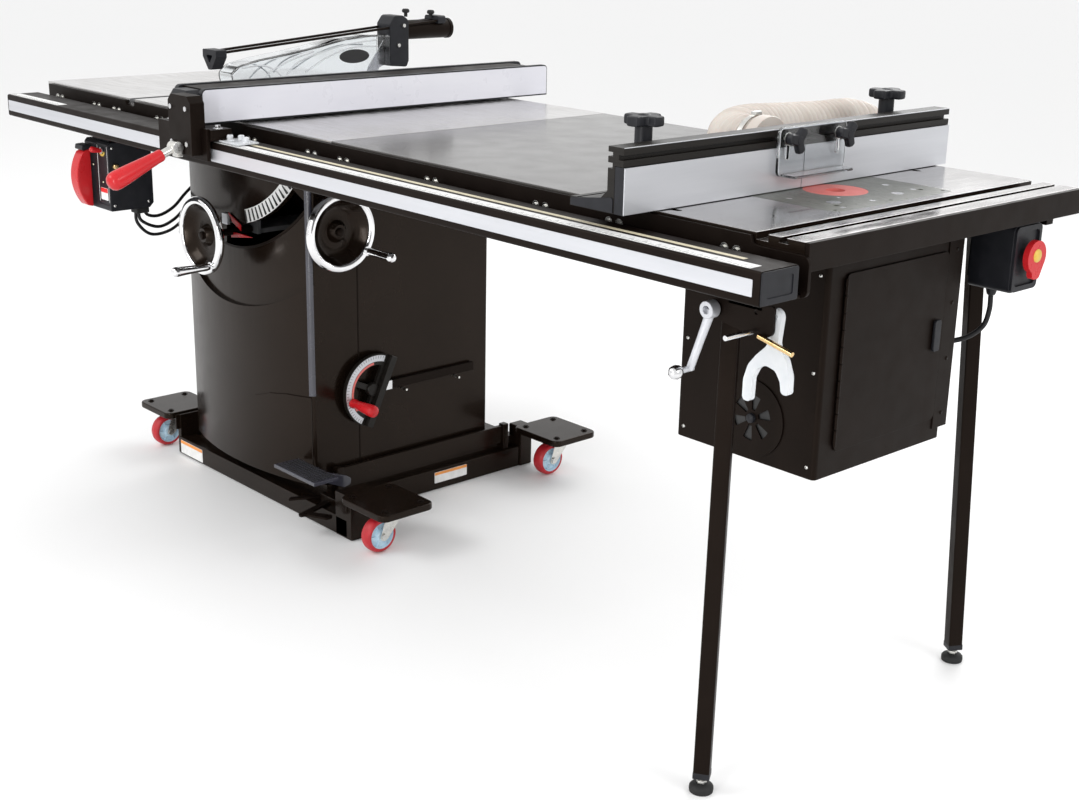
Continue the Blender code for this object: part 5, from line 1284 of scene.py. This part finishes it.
# ---------------------------------------------------------------- router table
def make_router_table():
    low, high = span("router_tabletop")
    cutters = [plate(rounded((1.858, 0.2), (2.093, 0.498), 0.018, 8), "Z", TOP - 0.0065, TOP + 0.04, 0),
               plate(rounded((1.868, 0.21), (2.083, 0.488), 0.012, 6), "Z", 0.8, TOP + 0.02, 0),
               box((2.11325, -0.01, TOP - 0.01), (2.13375, DEPTH + 0.01, TOP + 0.01), 0),
               box((2.155, -0.01, TOP - 0.0045), (2.165, DEPTH + 0.01, TOP + 0.01), 0),
               box((2.1525, -0.01, TOP - 0.008), (2.1675, DEPTH + 0.01, TOP - 0.0042), 0)]
    for y in (0.021, 0.606):
        cutters.append(plate(rounded((1.85, y), (1.95, y + 0.012), 0.0059, 6), "Z", 0.82, TOP + 0.04, 0))
    body = carve(box(low, high, 0), *cutters, edge=0.0007)

    def painted(centre, normal):
        return centre.z < TOP - 0.0008 and (abs(normal.z) < 0.5 or normal.z < 0)
    piece("router_tabletop", [body], "router_iron", second=("gloss_black", painted))

    side = box((high.x + 0.0003, 0.0005, 0.836), (2.2034, DEPTH, 0.8755), 0.001)
    frame_parts = [box(low_end, high_end, 0.001) for low_end, high_end in (
        ((2.148, 0.0005, 0.836), (2.2, DEPTH, 0.8497)),
        ((low.x + 0.001, 0.0005, 0.826), (1.828, DEPTH, 0.8497)),
        ((1.8, 0.0005, 0.812), (2.16, 0.02, 0.8497)),
        ((1.8, DEPTH - 0.02, 0.812), (2.16, DEPTH, 0.8497)),
        ((2.032, 0.0005, 0.8115), (2.085, 0.06, 0.84)),
        ((2.032, 0.618, 0.8115), (2.085, DEPTH, 0.84)),
    )]
    piece("router_table_frame", [side, *frame_parts], "satin_black")

    low, high = span("router_insert")
    outline = rounded((low.x, low.y), (high.x, high.y), 0.0177, 8)
    margin = 0.013
    rows = (low.y + margin, (low.y + high.y) / 2, high.y - margin)
    spots = [(x, y) for x in (low.x + margin, high.x - margin) for y in rows]
    small = [(low.x + 0.036, low.y + 0.03), (high.x - 0.034, low.y + 0.044), (low.x + 0.034, high.y - 0.04),
             (high.x - 0.04, high.y - 0.034)]
    bores = [circle(spot, 0.0034, 14) for spot in spots] + [circle(spot, 0.0045, 16) for spot in small]
    insert = plate(outline, "Z", low.z, high.z, 0.0004, [circle((BIT.x, BIT.y), 0.0505, 64)] + bores)
    piece("router_insert", [insert], "dark_plate")
    ring = plate(circle((BIT.x, BIT.y), 0.0503, 64), "Z", low.z, high.z - 0.0001, 0.0005,
                 [circle((BIT.x, BIT.y), 0.015, 40)])
    piece("insert_ring", [ring], "salmon_ring")
    pale = [plate(circle(spot, radius, 24), "Z", high.z - 0.0006, high.z + 0.0002, 0)
            for spot, radius in (((2.04, 0.262), 0.0115), ((2.052, 0.405), 0.01), ((1.995, 0.452), 0.006),
                                 ((2.066, 0.322), 0.005), ((2.02, 0.3), 0.0035), ((2.045, 0.455), 0.005),
                                 ((1.98, 0.232), 0.005), ((2.074, 0.24), 0.0045))]
    piece("insert_levellers", pale, "bright_steel", weighted=False)
    piece("insert_screws", [rod((x, y, high.z - 0.0045), (x, y, high.z - 0.0008), 0.0031, sides=16)
                            for x, y in spots], "bright_steel")
    dress("silver", "router_lift")


def make_legs():
    half = 0.0127
    wall = 0.0016
    for place, x, y, side in (("front", 2.072, 0.002, 1.0), ("rear", 2.072, 0.674, -1.0)):
        lean = Vector((-0.028, 0.042 * side, 1.0))
        foot = Vector((x, y, 0.0245))
        length = (lean * (0.8105 - 0.0245)).length
        turn = Matrix.Translation(foot) @ lean.to_track_quat("Z", "Y").to_matrix().to_4x4()
        skin = plate(rounded((-half, -half), (half, half), 0.0028, 4), "Z", 0.002, length, 0,
                     [rounded((-half + wall, -half + wall), (half - wall, half - wall), 0.0012, 3)])
        piece(f"leg_{place}", [moved(skin, turn)], "satin_black", crease=30)
        wide = half + 0.0004
        plug = box((-wide, -wide, -0.0008), (wide, wide, 0.01), 0.0015)
        wide = half + 0.0012
        collar = box((-wide, -wide, length - 0.02), (wide, wide, length - 0.002), 0.0015)
        piece(f"leg_plug_{place}", [moved(plug, turn)], "black_plastic")
        piece(f"leg_collar_{place}", [moved(collar, turn)], "satin_black")
        pad = lathe([(0, 0.014), (0.009, 0.0138), (0.0125, 0.0128), (0.0165, 0.011), (0.0186, 0.0085),
                     (0.019, 0.004), (0.0184, 0.0002), (0, 0.0002)], (x, y, 0), (0, 0, 1), 40)
        piece(f"foot_{place}", [pad], "black_rubber", f"foot_{place}", crease=50)
        stem = rod((x, y, 0.012), (x, y, 0.023), 0.0048, edge=0.0004)
        nut = rod((x, y, 0.0146), (x, y, 0.0196), 0.0085, sides=6, edge=0.0006)
        piece(f"foot_stem_{place}", [stem, nut], "zinc", f"foot_{place}")


def make_enclosure():
    low, high = span("router_enclosure")
    right, back = high.x, 0.467
    wall = 0.003
    outer = rounded((low.x, low.y), (right, back), 0.008)
    shell = plate(outer, "Z", low.z, high.z, 0.0012)
    cutters = [box((low.x + wall, low.y + wall, low.z + wall), (right - wall, back - wall, 0.9), 0),
               plate(rounded((0.196, 0.535), (0.43, 0.785), 0.01), "X", right - 0.02, right + 0.02, 0),
               plate(circle((1.95, 0.64), 0.049, 48), "Y", 0.44, 0.5, 0),
               plate(circle((2.007, 0.555), 0.04, 48), "Y", low.y - 0.02, low.y + 0.02, 0)]
    piece("router_enclosure", [carve(shell, *cutters, edge=0.0006)], "satin_black", crease=30)
    port = plate(circle((1.95, 0.64), 0.052, 48), "Y", 0.4645, 0.505, 0.0008,
                 [circle((1.95, 0.64), 0.0492, 48)])
    piece("enclosure_port", [port], "black_plastic", crease=30)

    # the round air damper on the front wall
    middle = (2.007, 0.555)
    fan = []
    for i in range(6):
        start, end = 60 * i + 6, 60 * i + 34
        fan.append(arc(middle, 0.036, start, end, 6) + arc(middle, 0.013, end, start, 4))
    damper = plate(circle(middle, 0.06, 64), "Y", low.y - 0.0022, low.y + 0.0004, 0.0006, fan)
    piece("damper_disc", [damper], "satin_black", crease=30)
    knob = lathe([(0, 0.0075), (0.005, 0.007), (0.0072, 0.005), (0.0076, 0.0), (0, 0.0)],
                 (middle[0], low.y - 0.0022, middle[1]), (0, -1, 0), 24)
    piece("damper_knob", [knob], "black_plastic")
    backing = plate(circle(middle, 0.0395, 48), "Y", low.y + 0.0006, low.y + 0.0012, 0)
    piece("damper_shadow", [backing], "black_mark")

    door_low, door_high = span("enclosure_door")
    door = plate(rounded((door_low.y, door_low.z), (door_high.y, door_high.z), 0.008), "X", door_low.x,
                 door_high.x, 0.0008)
    piece("enclosure_door", [door], "satin_black", "enclosure_door")
    x, y = right + 0.0038, door_low.y - 0.001
    hinge = []
    for i in range(10):
        z = 0.535 + 0.0255 * i
        hinge.append(rod((x, y, z), (x, y, z + 0.024), 0.0026))
    piece("door_hinge", hinge, "satin_black", "enclosure_door")
    pull = plate(rounded((0.412, 0.64), (0.428, 0.69), 0.004), "X", door_high.x + 0.001, door_high.x + 0.006,
                 0.0012)
    piece("door_latch", [pull], "black_plastic", "enclosure_door")
    flange = box((right - 0.001, 0.4415, 0.506), (right + 0.0022, 0.48, 0.811), 0.0008)
    piece("enclosure_flange", [flange], "satin_black")
    screws("flange_screws", [(right + 0.0022, 0.462, z) for z in (0.53, 0.62, 0.71, 0.795)], (1, 0, 0),
           0.0036, "satin_black")
    screws("enclosure_screws", [(x, low.y, z) for x in (1.868, 2.114) for z in (0.505, 0.65, 0.795)],
           (0, -1, 0), 0.003)


def make_router_switch():
    low_y, high_y = 0.541, 0.617
    low_z, high_z = 0.721, 0.828
    body = plate(rounded((low_y, low_z), (high_y, high_z), 0.008, 6), "X", 2.105, 2.179, 0.0012)
    bezel = plate(rounded((low_y + 0.0015, low_z + 0.0015), (high_y - 0.0015, high_z - 0.0015), 0.009, 6),
                  "X", 2.177, 2.183, 0.0018,
                  [rounded((low_y + 0.008, low_z + 0.01), (high_y - 0.008, high_z - 0.01), 0.008, 6)])
    bracket = box((2.1, 0.545, 0.735), (2.112, 0.64, 0.8357), 0.0012)
    gland = lathe([(0.0045, -0.022), (0.007, -0.02), (0.0095, -0.01), (0.0098, -0.003), (0.0098, 0.001),
                   (0.0045, 0.001), (0.0045, -0.022)],
                  (2.12, 0.59, 0.7225), (0, 0, 1), 28)
    piece("router_switch_housing", [body, bezel, bracket, gland], "black_plastic", crease=30)
    centre = (0.583, 0.778)
    outline = arc(centre, 0.026, -35, 250, 26) + [(0.572, 0.742), (0.594, 0.742)]
    paddle = plate(fillet(outline, {0: 0.006, 26: 0.006, 27: 0.008, 28: 0.008}, 4), "X", 2.1882, 2.198,
                   0.0026)
    stem = rod((2.1824, centre[0], centre[1]), (2.189, centre[0], centre[1]), 0.009, edge=0)
    piece("router_switch_paddle", [paddle, stem], "red_plastic", "router_switch_paddle")
    disc = lathe([(0, 0.0035), (0.0075, 0.0032), (0.01, 0.0018), (0.0108, 0.0), (0, 0.0)],
                 (2.1978, 0.583, 0.78), (1, 0, 0), 36)
    piece("paddle_marks", [disc], "yellow_plastic", "router_switch_paddle")


# ---------------------------------------------------------------- router fence
GUARD_KNOBS = {"front": 0.2695, "rear": 0.3925}


def lobes(centre, reach, width, arms, start):
    """The outline of a knob with rounded arms, and the radii of its corners."""
    root = width * 1.25 / math.tan(math.pi / arms)
    outline = []
    for arm in range(arms):
        turn = math.radians(start + 360 * arm / arms)
        for across, along in ((-width * 1.05, root), (-width, reach - 0.002), (0.0, reach),
                              (width, reach - 0.002)):
            outline.append((centre[0] + along * math.cos(turn) - across * math.sin(turn),
                            centre[1] + along * math.sin(turn) + across * math.cos(turn)))
    corners = ((0, 0.004), (1, width * 0.4), (3, width * 0.4))
    rules = {4 * arm + k: radius for arm in range(arms) for k, radius in corners}
    return outline, rules


def throat(base):
    """A cutter for the opening behind the bit."""
    return box((1.88, 0.279, base - 0.01), (1.925, 0.359, 0.93), 0)


def make_router_fence():
    front, back = -0.072, 0.711
    base = TOP + 0.0006
    profile = [(1.824, base), (1.913, base), (1.913, 0.944), (1.9295, 0.944), (1.9295, 0.9535),
               (1.92, 0.9535), (1.92, 0.9605), (1.9295, 0.9605), (1.9295, 0.971), (1.899, 0.971),
               (1.899, 0.963), (1.908, 0.963), (1.908, 0.957), (1.899, 0.957), (1.899, 0.948),
               (1.908, 0.948), (1.908, 0.9405), (1.899, 0.9405), (1.899, 0.908), (1.885, 0.895),
               (1.824, 0.8895)]
    body = plate(profile, "Y", front, back, 0)
    hood = plate([(1.86, base), (1.908, base), (1.908, 0.95), (1.86, 0.962)], "Y", 0.261, 0.377, 0)
    relief = box((1.8, 0.258, 0.88), (1.8445, 0.38, 0.9), 0)
    bore = rod((1.89, 0.319, 0.92), (1.855, 0.319, 0.92), 0.028, sides=40, edge=0)
    groove = box((1.838, front - 0.01, 0.886), (1.845, back + 0.01, 0.9), 0)
    piece("router_fence", [carve(body, throat(base), relief, groove, edge=0.0004),
                           carve(hood, throat(base), bore, edge=0.0015)],
          "black_anodised", "router_fence", crease=30)
    collar = lathe([(0.0285, -0.0005), (0.046, -0.0005), (0.0472, -0.002), (0.0474, -0.019),
                    (0.046, -0.0205), (0.0285, -0.0205), (0.0285, -0.0005)], (1.865, 0.319, 0.932),
                   (1, 0, 0), 56)
    piece("fence_port_collar", [collar], "hose_skin", "router_fence", crease=40)
    clamp = lathe([(0.0455, 0.0045), (0.0466, 0.0045), (0.0466, -0.0045), (0.0455, -0.0045),
                   (0.0455, 0.0045)],
                  (1.834, 0.319, 0.932), (1, 0, 0), 56)
    buckle = box((1.829, 0.311, 0.977), (1.839, 0.327, 0.984), 0.0012)
    piece("hose_clamp", [clamp, buckle], "zinc", crease=40)
    edge = box((1.9286, front + 0.001, 0.97), (1.9298, back - 0.001, 0.9712), 0.0002)
    piece("fence_bright_edge", [edge], "silver", "router_fence")
    for place in ("front", "rear"):
        low, high = span(f"router_face_{place}")
        core = box((low.x, low.y, low.z), (high.x - 0.0015, high.y, high.z), 0.0008)
        rim = 0.0004
        skin = box((high.x - 0.002, low.y + rim, low.z + rim), (high.x, high.y - rim, high.z - rim), 0.0006)
        node = f"router_face_{place}"
        piece(node, [skin], "silver", node)
        piece(f"face_core_{place}", [core], "black_plastic", node)
    ends = []
    for y in (front - 0.0014, back - 0.001):
        ends.append(plate(fillet([(1.826, base + 0.001), (1.9115, base + 0.001), (1.9115, 0.9),
                                  (1.826, 0.888)], {2: 0.004, 3: 0.002}),
                          "Y", y, y + 0.0024, 0.0005))
    piece("fence_end_caps", ends, "black_plastic", "router_fence")

    slots = [rounded((y - 0.004, 0.925), (y + 0.004, 0.966), 0.0039, 6) for y in GUARD_KNOBS.values()]
    shield = plate(rounded((0.249, 0.9), (0.413, 0.975), 0.01, 6), "X", 1.9362, 1.9412, 0.0014, slots)
    lip = plate(rounded((1.9362, 0.257), (1.968, 0.405), 0.006, 6), "Z", 0.9, 0.904, 0.0014)
    piece("bit_guard", [shield, lip], "clear_plastic", "bit_guard")
    rims = []
    for outline in (rounded((0.25, 0.901), (0.412, 0.974), 0.009, 6), *slots):
        path = [(1.9412, a, b) for a, b in outline]
        rims.append(tube(path + path[:1], 0.0007, 6))
    piece("bit_guard_edges", rims, "frosted_plastic", "bit_guard")
    height = 0.957
    for place, y in GUARD_KNOBS.items():
        node = f"guard_knob_{place}"
        hub = lathe([(0, 0.0245), (0.006, 0.0243), (0.0075, 0.0225), (0.0084, 0.015), (0.0088, 0.006),
                     (0.0086, 0.0004), (0.0, 0.0004)],
                    (1.9413, y, height), (1, 0, 0), 32)
        outline, rules = lobes((y, height), 0.0215, 0.0072, 3, 50)
        head = plate(fillet(outline, rules, 4), "X", 1.9545, 1.965, 0.0026)
        piece(node, [hub, head], "black_plastic", node)
        stud = rod((1.9305, y, height), (1.942, y, height), 0.0029, edge=0.0002)
        washer = rod((1.9413, y, height), (1.9421, y, height), 0.01, edge=0.0002)
        piece(node + "_stud", [stud, washer], "zinc", node)
    for place, y in (("front", 0.027), ("rear", 0.612)):
        node = f"post_knob_{place}"
        post = lathe([(0, 0.096), (0.0125, 0.096), (0.013, 0.09), (0.0132, 0.024), (0.0118, 0.02),
                      (0.011, 0.001), (0.011, 0.0), (0, 0.0)], (1.87, y, 0.895), (0, 0, 1), 32)
        outline, rules = lobes((1.87, y), 0.0312, 0.0108, 4, 8)
        head = plate(fillet(outline, rules, 4), "Z", 0.9885, 1.0035, 0.0032)
        crown = lathe([(0, 0.0025), (0.008, 0.0018), (0.0105, 0.0), (0, -0.001)], (1.87, y, 1.003),
                      (0, 0, 1), 32)
        piece(node, [post, head, crown], "black_plastic", node)


# ---------------------------------------------------------------- stored accessories
def make_accessories():
    bar = plate(rounded((0.7925, 0.261), (0.802, 0.28), 0.0008), "Y", 0.33, 0.605, 0.0008)
    piece("gauge_bar", [bar], "satin_black", "mitre_gauge")
    tongue = box((0.792, 0.335, 0.2606), (0.8024, 0.372, 0.2804), 0.0006)
    piece("gauge_bar_end", [tongue], "bright_steel", "mitre_gauge")
    centre = (0.322, 0.268)
    arch = arc(centre, 0.082, 90, 270, 40)
    inner = arc(centre, 0.058, 262, 98, 30)
    head = plate(arch, "X", 0.8015, 0.8105, 0.0012, [fillet(inner, {0: 0.004, 30: 0.004}, 3)])
    hub = lathe([(0, 0.0125), (0.013, 0.012), (0.0145, 0.01), (0.0145, 0.0), (0, 0.0)],
                (0.8015, centre[0] - 0.01, centre[1]), (1, 0, 0), 32)
    web = box((0.8015, 0.243, 0.262), (0.8085, 0.322, 0.275), 0.0012)
    fence = plate(rounded((0.188, 0.8015), (0.352, 0.822), 0.002), "Z", 0, 0.016, 0.001)
    swap = Matrix(((0, 1, 0, 0), (0, 0, 1, 0.323), (1, 0, 0, 0), (0, 0, 0, 1)))
    pin = Matrix.Translation((0, *centre))
    tilt = pin @ Matrix.Rotation(math.radians(-25), 4, "X") @ pin.inverted()
    parts = [moved(shape, tilt) for shape in (head, hub, web, moved(fence, swap))]
    piece("mitre_gauge", parts, "black_anodised", "mitre_gauge", crease=30)
    scale = plate(arc(centre, 0.0795, 96, 264, 40) + arc(centre, 0.066, 264, 96, 40), "X", 0.8102, 0.811,
                  0.0002)
    piece("gauge_scale", [moved(scale, tilt)], "silver", "mitre_gauge")
    red = plate(arc(centre, 0.065, 120, 240, 30) + arc(centre, 0.06, 240, 120, 30), "X", 0.8102, 0.8112,
                0.0002)
    piece("gauge_scale_band", [moved(red, tilt)], "salmon_ring", "mitre_gauge")
    ticks = []
    for i in range(0, 161, 5):
        angle = math.radians(100 + i)
        middle = Vector((0.8112, centre[0] + 0.0755 * math.cos(angle), centre[1] + 0.0755 * math.sin(angle)))
        turn = tilt @ Matrix.Translation(middle) @ Matrix.Rotation(angle, 4, "X")
        ticks.append(moved(box((-0.0003, -0.003, -0.0003), (0.0003, 0.003, 0.0003), 0), turn))
    piece("gauge_ticks", ticks, "black_mark", "mitre_gauge", weighted=False)
    grip = lathe([(0, 0.08), (0.0085, 0.0788), (0.0125, 0.0755), (0.0135, 0.07), (0.0128, 0.056),
                  (0.0105, 0.03), (0.0085, 0.012), (0.0105, 0.008), (0.0105, 0.0), (0, 0.0)],
                 (0.812, 0.259, 0.252), (1, 0, 0), 36)
    piece("gauge_handle", [grip], "red_plastic", "mitre_gauge")

    hook = plate(fillet([(2.052, 0.79), (2.18, 0.79), (2.18, 0.752), (2.16, 0.742), (2.092, 0.752),
                         (2.052, 0.778)],
                        {0: 0.004, 1: 0.004, 2: 0.008, 3: 0.008, 4: 0.01, 5: 0.006}), "Y", -0.034, -0.03,
                 0.0005,
                 [circle((2.15, 0.778), 0.004, 16)])
    tab = box((2.1, -0.034, 0.78), (2.16, -0.014, 0.8023), 0.001)
    piece("accessory_bracket", [hook, tab], "satin_black")
    piece("bracket_pin", [rod((2.15, -0.032, 0.752), (2.15, -0.095, 0.752), 0.0039, edge=0.0008)],
          "bright_steel")
    wishbone = fillet([(2.165, 0.787), (2.19, 0.787), (2.185, 0.738), (2.201, 0.722), (2.2095, 0.7),
                       (2.21, 0.6735), (2.196, 0.6735), (2.193, 0.69), (2.184, 0.703), (2.168, 0.707),
                       (2.154, 0.7), (2.146, 0.684), (2.145, 0.65), (2.13, 0.65), (2.13, 0.68),
                       (2.137, 0.702), (2.15, 0.718), (2.168, 0.735)],
                      {0: 0.011, 1: 0.011, 2: 0.012, 3: 0.018, 4: 0.02, 5: 0.006, 6: 0.006, 7: 0.01, 8: 0.01,
                       9: 0.012, 10: 0.012,
                       11: 0.01, 12: 0.006, 13: 0.006, 14: 0.02, 15: 0.02, 16: 0.02, 17: 0.012}, 4)
    guard = plate(wishbone, "Y", -0.029, -0.02, 0.002, [circle((2.1775, 0.776), 0.0045, 16)])
    piece("horseshoe_guard", [guard], "frosted_plastic", crease=50)
    brass = rod((2.16, -0.039, 0.748), (2.219, -0.039, 0.735), 0.0038, edge=0.0008)
    piece("starter_pin", [brass], "brass")

    top = Vector((2.078, -0.0415, 0.769))
    low = Vector((2.044, -0.0415, 0.676))
    arm = tube([top, top.lerp(low, 0.5), low], [0.007, 0.006, 0.0058], 16)
    head = lathe([(0.006, 0.0048), (0.0115, 0.0048), (0.0125, 0.0036), (0.0125, -0.0108), (0.0115, -0.012),
                  (0.006, -0.012), (0.006, 0.0048)], top, (0, 1, 0), 32)
    stem = rod(low + Vector((0, 0.0055, 0)), low - Vector((0, 0.022, 0)), 0.004, edge=0.0004)
    piece("lift_crank", [arm, head, stem], "silver", "lift_crank")
    ball = lathe([(0, 0.011), (0.0055, 0.0098), (0.009, 0.0062), (0.0106, 0.0), (0.009, -0.0062),
                  (0.0055, -0.0098), (0, -0.011)],
                 low - Vector((0, 0.029, 0)), (0, -1, 0), 32)
    piece("crank_ball", [ball], "bright_steel", "lift_crank", crease=60)


# ---------------------------------------------------------------- setting
def make_setting():
    """A pale floor and soft studio light from above, both sides and behind."""
    floor = bpy.data.materials.new("floor")
    floor.use_nodes = True
    surface = floor.node_tree.nodes["Principled BSDF"]
    surface.inputs["Base Color"].default_value = (0.9, 0.9, 0.9, 1.0)
    surface.inputs["Roughness"].default_value = 0.55
    bpy.ops.mesh.primitive_plane_add(size=60, location=(0, 0, -0.0005))
    ground = bpy.context.object
    ground.name = "floor"
    ground.data.materials.append(floor)
    world = bpy.data.worlds.new("studio")
    bpy.context.scene.world = world
    world.use_nodes = True
    back = world.node_tree.nodes["Background"]
    back.inputs["Color"].default_value = (1.0, 1.0, 1.0, 1.0)
    back.inputs["Strength"].default_value = 1.0
    bpy.context.scene.view_settings.view_transform = "Standard"
    lights = (
        ("key", (-1.6, -3.2, 3.4), (0.0, 0.0, 0.6), 2.4, 62),
        ("side", (3.6, 0.2, 2.2), (0.5, 0.0, 0.5), 1.6, 26),
        ("rear", (-0.6, 3.4, 2.8), (0.0, 0.0, 0.8), 3.0, 55),
        ("strip", (1.33, -2.6, 0.9), (-0.316, -0.11, 0.6), 0.28, 26),
    )
    for name, place, aim, size, power in lights:
        data = bpy.data.lights.new(name, "AREA")
        data.shape = "RECTANGLE"
        data.size = size
        data.size_y = 2.2 if name == "strip" else size * 0.6
        data.energy = power
        lamp = bpy.data.objects.new(name, data)
        lamp.location = place
        lamp.rotation_euler = (Vector(aim) - Vector(place)).to_track_quat("-Z", "Y").to_euler()
        bpy.context.scene.collection.objects.link(lamp)


make_camera()
metal_finishes()
painted_finishes()
plastic_finishes()
make_cords()
make_tables()
make_rails()
make_cabinet()
make_cutting_unit()
make_guard()
make_handwheel("elevation_wheel", ELEVATION_HUB, (0, -1, 0), 0.124, -50)
make_handwheel("tilt_wheel", TILT_HUB, (1, 0, 0), 0.078, -37)
make_rip_fence()
make_main_switch()
make_base()
make_casters()
make_router_table()
make_legs()
make_enclosure()
make_router_switch()
make_router_fence()
make_accessories()
make_setting()
